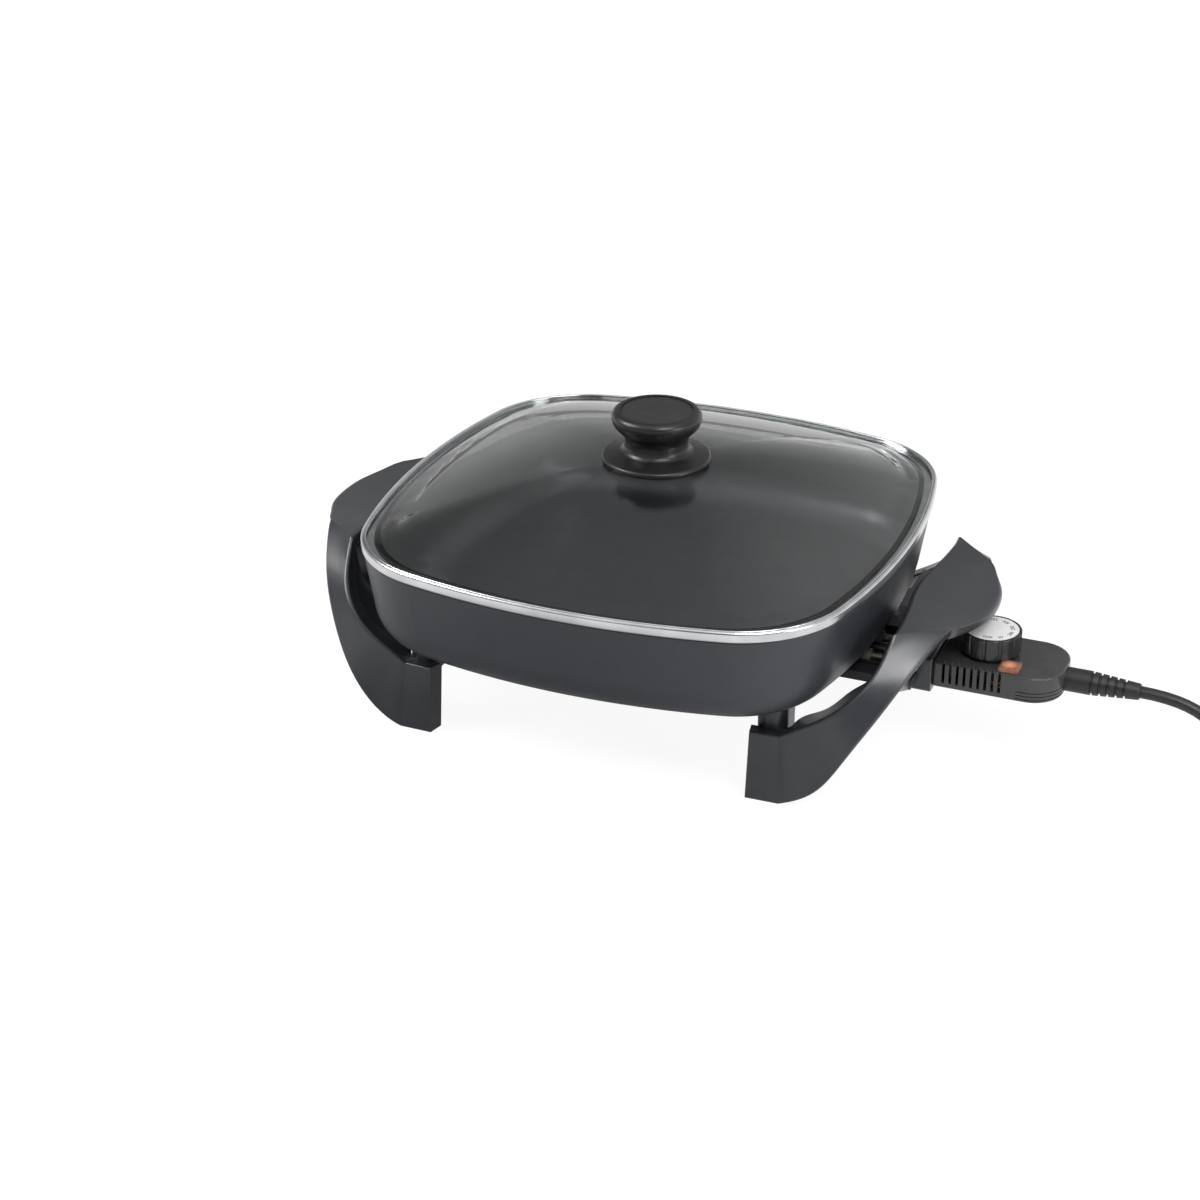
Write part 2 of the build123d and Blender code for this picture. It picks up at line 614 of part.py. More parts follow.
# The leg: a deep blade that twists from upright at the foot to face up at the crease
with BuildPart() as leg_blade:
    for station in range(LEG_STATIONS + 1):
        outer, inner, turned, depth, share = leg_section(station)
        edge_round = LEG_EDGE_ROUND + (WING_EDGE_ROUND - LEG_EDGE_ROUND) * share
        with BuildSketch(blade_plane(outer, inner, turned)):
            RectangleRounded((inner - outer).length, depth, edge_round, align=FROM_CORNER)
    loft()

# A deeper wall behind the leg's inner edge
with BuildPart() as leg_wall:
    for station in range(LEG_STATIONS + 1):
        outer, inner, turned, depth, share = leg_section(station)
        wall_depth = depth - LEG_WALL_ROOT - LEG_WALL_SINK + LEG_WALL_REACH * 4 * share * (1 - share)
        with BuildSketch(blade_plane(inner, outer, turned)):
            with Locations((LEG_WALL_INSET, LEG_WALL_ROOT)):
                Rectangle(LEG_WALL, wall_depth, align=FROM_CORNER)
    loft()

# The wing: a leaf-shaped grip from the front crease to the rear one
with BuildPart() as wing_blade:
    for station in range(WING_STATIONS + 1):
        share = station / WING_STATIONS
        outer = wing_outer @ share
        inner = wing_inner @ share
        crease = at_front_crease if share < 0.5 else at_rear_crease
        middle = 1 - (2 * share - 1) ** 2
        turned = Vector(0, 0, -1) * middle + crease * (1 - middle)
        depth = CREASE_DEPTH + (WING_DEPTH - CREASE_DEPTH) * middle
        with BuildSketch(blade_plane(outer, inner, turned)):
            RectangleRounded((inner - outer).length, depth, WING_EDGE_ROUND, align=FROM_CORNER)
    loft()

# One moulding: legs, wing, the web that comes down from the wing and the two arms under the pan
with BuildPart() as handle_moulding:
    add(foot_block.part)
    add(leg_blade.part)
    add(leg_wall.part)
    # Seat under the pan's corner
    with BuildSketch(Plane.XY.offset(BOSS_FACE)):
        with Locations((FOOT_SEAT_X, -FOOT_SEAT_Y)):
            RectangleRounded(FOOT_SEAT_WIDTH, FOOT_SEAT_LENGTH, FOOT_SEAT_ROUND)
    extrude(amount=-FOOT_SEAT_DEPTH)
    mirror(about=Plane.XZ)
    add(wing_blade.part)
    with BuildSketch(Plane.YZ.offset(WEB_X)):
        with BuildLine():
            FilletPolyline(
                (-WEB_HALF_WIDTH, WEB_TOP), (-WEB_HALF_WIDTH, WEB_SHOULDER),
                (-ARM_SPAN, ARM_BOTTOM), (ARM_SPAN, ARM_BOTTOM),
                (WEB_HALF_WIDTH, WEB_SHOULDER), (WEB_HALF_WIDTH, WEB_TOP),
                radius=WEB_CORNER_ROUND,
            )
            Line((WEB_HALF_WIDTH, WEB_TOP), (-WEB_HALF_WIDTH, WEB_TOP))
        make_face()
    extrude(amount=WEB_THICKNESS)
    with BuildSketch(Plane.YZ.offset(PAD_X)):
        with Locations((0, ARM_BOTTOM)):
            Rectangle(2 * PAD_HALF_WIDTH, PAD_TOP - ARM_BOTTOM, align=(Align.CENTER, Align.MIN))
    extrude(amount=WEB_X - PAD_X)
    with BuildSketch(Plane.XY.offset(ARM_BOTTOM)):
        with Locations(*[(ARM_SEAT_X - ARM_WIDTH / 2, end * ARM_Y) for end in FRONT_AND_REAR]):
            Rectangle(WEB_X - ARM_SEAT_X + ARM_WIDTH, ARM_WIDTH, align=(Align.MIN, Align.CENTER))
    extrude(amount=ARM_THICKNESS)
    split(bisect_by=Plane.XY, keep=Keep.TOP)
    with Locations(*[cut_upwards(FOOT_SEAT_X, end * FOOT_SEAT_Y, BOSS_FACE - FOOT_SEAT_DEPTH)
                     for end in FRONT_AND_REAR]):
        CounterBoreHole(SCREW_HOLE_RADIUS, COUNTERBORE_RADIUS, FOOT_SEAT_DEPTH - SCREW_GRIP, FOOT_SEAT_DEPTH)
    with Locations(*[cut_upwards(ARM_SEAT_X, end * ARM_Y, ARM_BOTTOM) for end in FRONT_AND_REAR]):
        CounterBoreHole(SCREW_HOLE_RADIUS, COUNTERBORE_RADIUS, ARM_THICKNESS - SCREW_GRIP, ARM_THICKNESS)

with BuildPart() as left_handle_leg:
    add(mirror(handle_moulding.part, about=Plane.YZ, mode=Mode.PRIVATE))
left_handle_leg.part.label = "left_handle_leg"

with BuildPart() as right_handle_leg:
    add(handle_moulding.part)
    # Notch for the probe guard, and holes for its screws
    with BuildSketch(Plane.YZ.offset(PAD_X)):
        with Locations((0, GUARD_TOP + GUARD_FIT)):
            Rectangle(
                2 * (GUARD_HALF_WIDTH + GUARD_FIT), GUARD_TOP + GUARD_FIT - ARM_BOTTOM,
                align=(Align.CENTER, Align.MAX),
            )
    extrude(amount=WEB_X + WEB_THICKNESS - PAD_X, mode=Mode.SUBTRACT)
    for end in FRONT_AND_REAR:
        hole = rod(GUARD_SCREW_RADIUS, (WEB_X, end * GUARD_SCREW_Y, GUARD_SCREW_Z), WEB_THICKNESS)
        add(hole, mode=Mode.SUBTRACT)
right_handle_leg.part.label = "right_handle_leg"

HANDLE_SCREW_PLACES = [(x, y, BOSS_FACE - SCREW_GRIP) for x, y in FOOT_SEATS + ARM_SEATS]
with BuildPart() as handle_screws:
    shank = SCREW_GRIP + SCREW_BITE
    with Locations(*HANDLE_SCREW_PLACES):
        add(screw(HANDLE_SCREW_RADIUS, shank, HANDLE_SCREW_HEAD_RADIUS, HANDLE_SCREW_HEAD_HEIGHT))
handle_screws.part.label = "handle_screws"

# ---------------------------------------------------------------- probe guard

with BuildPart() as probe_guard:
    middle_height = (GUARD_TOP + GUARD_BOTTOM) / 2
    with BuildSketch(Plane.YZ.offset(GUARD_START_X)):
        with Locations((0, middle_height)):
            RectangleRounded(2 * GUARD_HALF_WIDTH, GUARD_TOP - GUARD_BOTTOM, GUARD_ROUND)
    extrude(amount=GUARD_LENGTH)
    # Open tray that carries on under the pan, below the element's ends
    with BuildSketch(Plane.YZ.offset(TRAY_START_X)):
        with Locations((0, GUARD_BOTTOM)):
            Rectangle(2 * GUARD_HALF_WIDTH, TRAY_TOP - GUARD_BOTTOM, align=(Align.CENTER, Align.MIN))
        with Locations((0, GUARD_BOTTOM + GUARD_WALL)):
            Rectangle(
                2 * (GUARD_HALF_WIDTH - GUARD_WALL), TRAY_TOP - GUARD_BOTTOM,
                align=(Align.CENTER, Align.MIN), mode=Mode.SUBTRACT,
            )
    extrude(amount=TRAY_LENGTH)
    with BuildSketch(Plane.YZ.offset(WEB_X - GUARD_EAR_THICKNESS)):
        with Locations((0, GUARD_SCREW_Z)):
            RectangleRounded(2 * (GUARD_HALF_WIDTH + GUARD_EAR_REACH), GUARD_EAR_HEIGHT, GUARD_ROUND)
    extrude(amount=GUARD_EAR_THICKNESS)
    with BuildSketch(Plane.YZ.offset(GUARD_START_X)):
        with Locations((0, middle_height)):
            mouth_height = GUARD_TOP - GUARD_BOTTOM - 2 * GUARD_WALL
            RectangleRounded(2 * (GUARD_HALF_WIDTH - GUARD_WALL), mouth_height, GUARD_WALL / 2)
    extrude(amount=GUARD_LENGTH, mode=Mode.SUBTRACT)
    for end in FRONT_AND_REAR:
        ear_hole = (WEB_X - GUARD_EAR_THICKNESS, end * GUARD_SCREW_Y, GUARD_SCREW_Z)
        add(rod(GUARD_SCREW_RADIUS, ear_hole, GUARD_EAR_THICKNESS), mode=Mode.SUBTRACT)
    chamfer(probe_guard.faces().sort_by(Axis.X)[-1].outer_wire().edges(), SMALL_EDGE)
probe_guard.part.label = "probe_guard"

with BuildPart() as guard_screws:
    for end in FRONT_AND_REAR:
        guard_screw = screw(
            GUARD_SCREW_RADIUS, WEB_THICKNESS + GUARD_EAR_THICKNESS, GUARD_SCREW_HEAD_RADIUS,
            GUARD_SCREW_HEAD_HEIGHT,
        )
        head_seat = (WEB_X + WEB_THICKNESS, end * GUARD_SCREW_Y, GUARD_SCREW_Z)
        with Locations(Plane(origin=head_seat, z_dir=(-1, 0, 0))):
            add(guard_screw)
guard_screws.part.label = "guard_screws"

# ---------------------------------------------------------------- lid

DOME_HALF_WIDTH = RIM_HALF_WIDTH - DOME_INSET
DOME_CURVE = DOME_RISE / (DOME_HALF_WIDTH ** 2 - CROWN_HALF_WIDTH ** 2)


def glass_form(depth):
    """Solid under the glass's outer surface, or under its inner one when depth is the glass's thickness."""
    with BuildPart() as form:
        for station in range(DOME_STATIONS):
            share = station / (DOME_STATIONS - 1)
            half_width = DOME_HALF_WIDTH + (CROWN_HALF_WIDTH - DOME_HALF_WIDTH) * share
            fall = DOME_CURVE * (half_width ** 2 - CROWN_HALF_WIDTH ** 2)
            with BuildSketch(Plane.XY.offset(CROWN_HEIGHT - depth - fall)):
                dome_outline(half_width - depth * (1 - share))
        loft()
    return form.part


KNOB_HOLE_RADIUS = KNOB_SCREW_RADIUS + KNOB_HOLE_CLEARANCE
with BuildPart() as lid_glass:
    with BuildSketch(Plane.XY.offset(GLASS_BOTTOM)):
        inset_outline(RIM_SHEET)
    extrude(amount=GLASS_THICKNESS)
    add(glass_form(0))
    add(glass_form(GLASS_THICKNESS), mode=Mode.SUBTRACT)
    with Locations((0, 0, CROWN_HEIGHT)):
        Hole(KNOB_HOLE_RADIUS, 2 * GLASS_THICKNESS)
lid_glass.part.label = "lid_glass"

# Rolled steel rim: a channel round the glass edge, with a skirt that drops inside the pan's lip
RIM_INNER_INSET = RIM_FLANGE + RIM_SHEET
SKIRT_INSET = RIM_OVERHANG + PAN_WALL + SKIRT_CLEARANCE
with BuildPart() as lid_rim:
    with BuildSketch(Plane.XY.offset(LIP_HEIGHT)):
        inset_outline(0)
    extrude(amount=RIM_BAND_HEIGHT)
    fillet(lid_rim.edges().group_by(Axis.Z)[-1], RIM_TOP_ROUND)
    fillet(lid_rim.edges().group_by(Axis.Z)[0], RIM_BOTTOM_ROUND)
    with BuildSketch(Plane.XY.offset(LIP_HEIGHT)):
        inset_outline(SKIRT_INSET)
    extrude(amount=-SKIRT_DROP)
    with BuildSketch(Plane.XY.offset(LIP_HEIGHT - SKIRT_DROP)):
        inset_outline(SKIRT_INSET + RIM_SHEET)
    extrude(amount=SKIRT_DROP + RIM_BAND_HEIGHT, mode=Mode.SUBTRACT)
    with BuildSketch(Plane.XY.offset(GLASS_TOP)):
        inset_outline(RIM_FLANGE)
    extrude(amount=RIM_BAND_HEIGHT, mode=Mode.SUBTRACT)
    add(lid_glass.part, mode=Mode.SUBTRACT)
lid_rim.part.label = "lid_rim"

# Turned knob: broad flange, waist and mushroom cap, with a disc let into the top
KNOB_TOP = CROWN_HEIGHT + KNOB_HEIGHT
DISC_FACE = KNOB_TOP - KNOB_DISC_SINK
INSERT_RADIUS = KNOB_SCREW_RADIUS + INSERT_WALL
FLANGE_FOOT = CROWN_HEIGHT - KNOB_SKIRT_DROP
FLANGE_TOP = FLANGE_FOOT + KNOB_FLANGE_EDGE
WAIST_TOP = CROWN_HEIGHT + KNOB_WAIST_TOP
FLARE_RISE = (KNOB_CAP_RADIUS - KNOB_WAIST_RADIUS) / tan(radians(KNOB_CAP_FLARE))
with BuildPart() as lid_knob:
    with BuildSketch(Plane.XZ):
        with BuildLine():
            profile = FilletPolyline(
                (KNOB_SEAT_RADIUS, CROWN_HEIGHT),
                (KNOB_FLANGE_RADIUS, FLANGE_FOOT),
                (KNOB_FLANGE_RADIUS, FLANGE_TOP),
                (KNOB_WAIST_RADIUS, FLANGE_TOP + KNOB_FLANGE_RISE),
                (KNOB_WAIST_RADIUS, WAIST_TOP),
                (KNOB_CAP_RADIUS, WAIST_TOP + FLARE_RISE),
                (KNOB_CAP_RADIUS, KNOB_TOP),
                (0, KNOB_TOP),
                radius=[
                    KNOB_FLANGE_ROUND, KNOB_FLANGE_ROUND, KNOB_WAIST_FILLET, KNOB_UNDERCUT_FILLET,
                    KNOB_CAP_FILLET, KNOB_TOP_FILLET,
                ],
            )
            Polyline(profile @ 1, (0, CROWN_HEIGHT), profile @ 0)
        make_face()
    revolve(axis=Axis.Z)
    with Locations((0, 0, DISC_FACE - KNOB_DISC_THICKNESS)):
        Cylinder(KNOB_DISC_RADIUS, KNOB_DISC_THICKNESS + KNOB_DISC_SINK, align=BOTTOM_UP, mode=Mode.SUBTRACT)
    with Locations((0, 0, CROWN_HEIGHT)):
        Cylinder(INSERT_RADIUS, INSERT_LENGTH, align=BOTTOM_UP, mode=Mode.SUBTRACT)
    add(lid_glass.part, mode=Mode.SUBTRACT)
lid_knob.part.label = "lid_knob"

with BuildPart() as knob_disc:
    with Locations((0, 0, DISC_FACE - KNOB_DISC_THICKNESS)):
        Cylinder(KNOB_DISC_RADIUS, KNOB_DISC_THICKNESS, align=BOTTOM_UP)
    fillet(knob_disc.edges().group_by(Axis.Z)[-1], SMALL_EDGE)
knob_disc.part.label = "knob_disc"

with BuildPart() as knob_insert:
    with Locations((0, 0, CROWN_HEIGHT)):
        Cylinder(INSERT_RADIUS, INSERT_LENGTH, align=BOTTOM_UP)
        Cylinder(KNOB_SCREW_RADIUS, INSERT_LENGTH, align=BOTTOM_UP, mode=Mode.SUBTRACT)
knob_insert.part.label = "knob_insert"

GASKET_BOTTOM = CROWN_HEIGHT - GLASS_THICKNESS - GASKET_THICKNESS
WASHER_BOTTOM = GASKET_BOTTOM - WASHER_THICKNESS
with BuildPart() as knob_gasket:
    with Locations((0, 0, GASKET_BOTTOM)):
        Cylinder(GASKET_RADIUS, GASKET_THICKNESS, align=BOTTOM_UP)
        Cylinder(KNOB_HOLE_RADIUS, GASKET_THICKNESS, align=BOTTOM_UP, mode=Mode.SUBTRACT)
knob_gasket.part.label = "knob_gasket"

with BuildPart() as knob_washer:
    with Locations((0, 0, WASHER_BOTTOM)):
        Cylinder(WASHER_RADIUS, WASHER_THICKNESS, align=BOTTOM_UP)
        Cylinder(KNOB_HOLE_RADIUS, WASHER_THICKNESS, align=BOTTOM_UP, mode=Mode.SUBTRACT)
    fillet(knob_washer.edges().group_by(Axis.Z)[0].sort_by(SortBy.RADIUS)[-1:], SMALL_EDGE)
knob_washer.part.label = "knob_washer"

with BuildPart() as knob_screw:
    with Locations((0, 0, WASHER_BOTTOM)):
        shank = CROWN_HEIGHT + KNOB_SCREW_BITE - WASHER_BOTTOM
        add(screw(KNOB_SCREW_RADIUS, shank, KNOB_SCREW_HEAD_RADIUS, KNOB_SCREW_HEAD_HEIGHT))
knob_screw.part.label = "knob_screw"

# ---------------------------------------------------------------- control housing

VENT_PLACES = [HOUSING_START_X + VENT_START + VENT_PITCH * index for index in range(VENT_COUNT)]
COVER_HOLE_RADIUS = COVER_SCREW_RADIUS + COVER_SCREW_CLEARANCE
COVER_BORE_RADIUS = COVER_SCREW_HEAD_RADIUS + COVER_SCREW_CLEARANCE
COVER_SCREW_PLACES = [
    (HOUSING_START_X + place, side * aside)
    for place, aside in (COVER_SCREW_FRONT, COVER_SCREW_REAR) for side in FRONT_AND_REAR
]

# Vent slots: narrow boxes through both side walls and the cover's edge
with BuildPart() as vent_slots:
    with BuildSketch(Plane.XY.offset(HOUSING_TOP)):
        for side in FRONT_AND_REAR:
            with Locations(*[(x, side * HOUSING_HALF_WIDTH) for x in VENT_PLACES]):
                Rectangle(VENT_WIDTH, 2 * VENT_DEPTH)
    extrude(amount=-VENT_HEIGHT)

with BuildPart() as strain_relief:
    flange_face = HOUSING_END_X - HOUSING_WALL
    relief_start = HOUSING_END_X
    relief_end = RELIEF_END_X
    taper_start = relief_start + RELIEF_STRAIGHT
    with BuildSketch(Plane.XZ):
        with BuildLine():
            Polyline(
                (flange_face - RELIEF_FLANGE, RELIEF_HEIGHT),
                (flange_face - RELIEF_FLANGE, RELIEF_HEIGHT + RELIEF_FLANGE_RADIUS),
                (flange_face, RELIEF_HEIGHT + RELIEF_FLANGE_RADIUS),
                (flange_face, RELIEF_HEIGHT + RELIEF_NECK_RADIUS),
                (relief_start, RELIEF_HEIGHT + RELIEF_NECK_RADIUS),
                (relief_start, RELIEF_HEIGHT + RELIEF_START_RADIUS),
                (taper_start, RELIEF_HEIGHT + RELIEF_START_RADIUS),
                (relief_end, RELIEF_HEIGHT + RELIEF_END_RADIUS),
                (relief_end, RELIEF_HEIGHT),
                close=True,
            )
        make_face()
        for ring in range(RELIEF_RINGS):
            place = relief_start + RELIEF_RING_START + ring * RELIEF_RING_PITCH
            share = (place - taper_start) / (relief_end - taper_start)
            surface = RELIEF_START_RADIUS + (RELIEF_END_RADIUS - RELIEF_START_RADIUS) * share
            with Locations((place, RELIEF_HEIGHT + surface)):
                Rectangle(RELIEF_RING_WIDTH, 2 * RELIEF_RING_DEPTH, mode=Mode.SUBTRACT)
    revolve(axis=Axis((0, 0, RELIEF_HEIGHT), (1, 0, 0)))
    end_edges = strain_relief.edges().filter_by(GeomType.CIRCLE).group_by(Axis.X)
    fillet(end_edges[-1], RELIEF_END_ROUND)
strain_relief.part.label = "strain_relief"

with BuildPart() as control_base:
    with BuildSketch(Plane.XY.offset(HOUSING_BOTTOM)):
        housing_outline(0)
    extrude(amount=HOUSING_SPLIT - HOUSING_BOTTOM)
    fillet(control_base.edges().group_by(Axis.Z)[0], HOUSING_BOTTOM_ROUND)
    with BuildSketch(Plane.XY.offset(NOSE_BOTTOM)):
        nose_outline(0)
    extrude(amount=HOUSING_SPLIT - NOSE_BOTTOM)
    with BuildSketch(Plane.XY.offset(HOUSING_FLOOR)):
        housing_outline(HOUSING_WALL)
        nose_outline(HOUSING_WALL)
    extrude(amount=HOUSING_SPLIT - HOUSING_FLOOR, mode=Mode.SUBTRACT)
    # Grip grooves round the lead's end
    for index in range(GROOVE_COUNT):
        groove_bottom = HOUSING_BOTTOM + HOUSING_BOTTOM_ROUND + GROOVE_PITCH * index
        with BuildSketch(Plane.XY.offset(groove_bottom)):
            housing_outline(0)
            housing_outline(GROOVE_DEPTH, mode=Mode.SUBTRACT)
            with Locations((HOUSING_START_X, 0)):
                Rectangle(
                    GROOVE_START, 3 * HOUSING_HALF_WIDTH, align=(Align.MIN, Align.CENTER), mode=Mode.SUBTRACT,
                )
        extrude(amount=GROOVE_WIDTH, mode=Mode.SUBTRACT)
    # Posts for the cover screws, screwed from below
    with BuildSketch(Plane.XY.offset(HOUSING_FLOOR)):
        with Locations(*COVER_SCREW_PLACES):
            Circle(SCREW_POST_RADIUS)
    extrude(amount=HOUSING_SPLIT - HOUSING_FLOOR)
    with Locations(*[cut_upwards(x, y, HOUSING_BOTTOM) for x, y in COVER_SCREW_PLACES]):
        CounterBoreHole(COVER_HOLE_RADIUS, COVER_BORE_RADIUS, HOUSING_WALL, HOUSING_SPLIT - HOUSING_BOTTOM)
    # Openings in the nose for the pins and the stem, and in the end wall for the strain relief
    for end in FRONT_AND_REAR:
        pin_hole = rod(SLEEVE_BORE, (NOSE_START_X, end * PIN_Y, CONNECTION_HEIGHT), HOUSING_WALL)
        add(pin_hole, mode=Mode.SUBTRACT)
    add(rod(STEM_RADIUS, (NOSE_START_X, 0, CONNECTION_HEIGHT), HOUSING_WALL), mode=Mode.SUBTRACT)
    add(strain_relief.part, mode=Mode.SUBTRACT)
    add(vent_slots.part, mode=Mode.SUBTRACT)
control_base.part.label = "control_base"

with BuildPart() as control_cover:
    with BuildSketch(Plane.XY.offset(HOUSING_SPLIT)):
        housing_outline(0)
    extrude(amount=COVER_HEIGHT)
    fillet(control_cover.edges().group_by(Axis.Z)[-1], HOUSING_TOP_ROUND)
    with BuildSketch(Plane.XY.offset(HOUSING_SPLIT)):
        nose_outline(0)
    extrude(amount=NOSE_TOP - HOUSING_SPLIT)
    with BuildSketch(Plane.XY.offset(HOUSING_SPLIT)):
        housing_outline(HOUSING_WALL)
    extrude(amount=HOUSING_CEILING - HOUSING_SPLIT, mode=Mode.SUBTRACT)
    with BuildSketch(Plane.XY.offset(HOUSING_SPLIT)):
        nose_outline(HOUSING_WALL)
    extrude(amount=NOSE_TOP - HOUSING_WALL - HOUSING_SPLIT, mode=Mode.SUBTRACT)
    # Pedestal under the dial, bored for the shaft
    pedestal = PEDESTAL_TOP - HOUSING_CEILING
    with Locations((DIAL_X, 0, HOUSING_CEILING)):
        Cylinder(PEDESTAL_RADIUS, pedestal, align=BOTTOM_UP)
        Cylinder(SHAFT_RADIUS + SHAFT_CLEARANCE, pedestal, align=BOTTOM_UP, mode=Mode.SUBTRACT)
    with BuildSketch(Plane.XY.offset(HOUSING_CEILING)):
        with Locations((LAMP_X, LAMP_Y)):
            Rectangle(LENS_LENGTH - 2 * LENS_STEP, LENS_WIDTH - 2 * LENS_STEP)
    extrude(amount=HOUSING_WALL, mode=Mode.SUBTRACT)
    with BuildSketch(Plane.XY.offset(HOUSING_SPLIT)):
        with Locations(*COVER_SCREW_PLACES):
            Circle(SCREW_POST_RADIUS)
            Circle(COVER_SCREW_RADIUS, mode=Mode.SUBTRACT)
    extrude(amount=HOUSING_CEILING - HOUSING_SPLIT)
    add(strain_relief.part, mode=Mode.SUBTRACT)
    add(vent_slots.part, mode=Mode.SUBTRACT)
control_cover.part.label = "control_cover"

with BuildPart() as cover_screws:
    with Locations(*[(x, y, HOUSING_FLOOR) for x, y in COVER_SCREW_PLACES]):
        shank = HOUSING_CEILING - HOUSING_FLOOR
        add(screw(COVER_SCREW_RADIUS, shank, COVER_SCREW_HEAD_RADIUS, COVER_SCREW_HEAD_HEIGHT))
cover_screws.part.label = "cover_screws"

# ---------------------------------------------------------------- inside the control

with BuildPart() as contact_sleeves:
    for end in FRONT_AND_REAR:
        start = (SLEEVE_START_X, end * PIN_Y, CONNECTION_HEIGHT)
        add(rod(SLEEVE_RADIUS, start, SLEEVE_LENGTH))
        add(rod(SLEEVE_BORE, start, SLEEVE_LENGTH), mode=Mode.SUBTRACT)
contact_sleeves.part.label = "contact_sleeves"

with BuildPart() as sensor_stem:
    add(rod(STEM_RADIUS, (STEM_TIP_X, 0, CONNECTION_HEIGHT), FRAME_START_X + FRAME_SHEET - STEM_TIP_X))
    fillet(sensor_stem.edges().group_by(Axis.X)[0], STEM_TIP_ROUND)
sensor_stem.part.label = "sensor_stem"

with BuildPart() as contact_block:
    with BuildSketch(Plane.YZ.offset(NOSE_START_X + BLOCK_SETBACK)):
        with Locations((0, HOUSING_FLOOR)):
            Rectangle(2 * BLOCK_HALF_WIDTH, BLOCK_HEIGHT, align=(Align.CENTER, Align.MIN))
        with Locations((-PIN_Y, CONNECTION_HEIGHT), (PIN_Y, CONNECTION_HEIGHT)):
            Circle(SLEEVE_RADIUS, mode=Mode.SUBTRACT)
        with Locations((0, CONNECTION_HEIGHT)):
            Circle(STEM_RADIUS, mode=Mode.SUBTRACT)
    extrude(amount=BLOCK_LENGTH)
contact_block.part.label = "contact_block"

# Bent steel frame: a base strip with an upright that clamps the stem
with BuildPart() as thermostat_frame:
    with BuildSketch(Plane.XZ.offset(-FRAME_HALF_WIDTH)):
        with Locations((FRAME_START_X, HOUSING_FLOOR)):
            Rectangle(FRAME_LENGTH, FRAME_SHEET, align=FROM_CORNER)
            Rectangle(FRAME_SHEET, FRAME_UPRIGHT, align=FROM_CORNER)
    extrude(amount=2 * FRAME_HALF_WIDTH)
    add(rod(STEM_RADIUS, (FRAME_START_X, 0, CONNECTION_HEIGHT), FRAME_SHEET), mode=Mode.SUBTRACT)
thermostat_frame.part.label = "thermostat_frame"

# Two spring blades over the frame, on round insulators
BLADE_X = FRAME_START_X + FRAME_LENGTH - BLADE_WIDTH / 2
BLADE_STEP = BLADE_GAP + BLADE_SHEET
with BuildPart() as blade_insulators:
    for level in (0, 1):
        with Locations((BLADE_X, 0, HOUSING_FLOOR + FRAME_SHEET + level * BLADE_STEP)):
            Cylinder(INSULATOR_RADIUS, BLADE_GAP, align=BOTTOM_UP)
blade_insulators.part.label = "blade_insulators"


def spring_blade(level, contact_side):
    """Flat spring with a raised contact near its free end, on top (1) or underneath (-1)."""
    height = HOUSING_FLOOR + FRAME_SHEET + BLADE_GAP + level * BLADE_STEP
    contact_height = height + BLADE_SHEET * (1 + contact_side) / 2
    contact_x = BLADE_X - BLADE_LENGTH + BLADE_WIDTH
    with BuildPart() as blade:
        with BuildSketch(Plane.XY.offset(height)):
            with Locations((BLADE_X - (BLADE_LENGTH - BLADE_WIDTH) / 2, 0)):
                RectangleRounded(BLADE_LENGTH, BLADE_WIDTH, BLADE_END_ROUND)
        extrude(amount=BLADE_SHEET)
        with BuildSketch(Plane(origin=(contact_x, 0, contact_height), z_dir=(0, 0, contact_side))):
            Circle(CONTACT_RADIUS)
        extrude(amount=BLADE_GAP / 2, taper=CONTACT_TAPER)
    return blade.part


with BuildPart() as bimetal_blade:
    add(spring_blade(0, 1))
bimetal_blade.part.label = "bimetal_blade"

with BuildPart() as switch_blade:
    add(spring_blade(1, -1))
switch_blade.part.label = "switch_blade"

LAMP_BED = HOUSING_FLOOR + NEON_RADIUS
with BuildPart() as neon_lamp:
    add(rod(NEON_RADIUS, (LAMP_X - NEON_LENGTH / 2, LAMP_Y, LAMP_BED), NEON_LENGTH))
    fillet(neon_lamp.edges().group_by(Axis.X)[-1], NEON_TIP_ROUND)
neon_lamp.part.label = "neon_lamp"

with BuildPart() as lamp_resistor:
    resistor_x = LAMP_X - NEON_LENGTH / 2 - RESISTOR_LENGTH
    add(rod(RESISTOR_RADIUS, (resistor_x, LAMP_Y, LAMP_BED), RESISTOR_LENGTH))
lamp_resistor.part.label = "lamp_resistor"

with BuildPart() as lamp_lens:
    with BuildSketch(Plane.XY.offset(HOUSING_TOP)):
        with Locations((LAMP_X, LAMP_Y)):
            RectangleRounded(LENS_LENGTH, LENS_WIDTH, LENS_ROUND)
    extrude(amount=LENS_RISE)
    fillet(lamp_lens.edges().group_by(Axis.Z)[-1], LENS_EDGE_ROUND)
    with BuildSketch(Plane.XY.offset(HOUSING_CEILING)):
        with Locations((LAMP_X, LAMP_Y)):
            foot_step = 2 * (LENS_STEP + LENS_FIT)
            Rectangle(LENS_LENGTH - foot_step, LENS_WIDTH - foot_step)
    extrude(amount=HOUSING_WALL)
lamp_lens.part.label = "lamp_lens"

# ---------------------------------------------------------------- dial

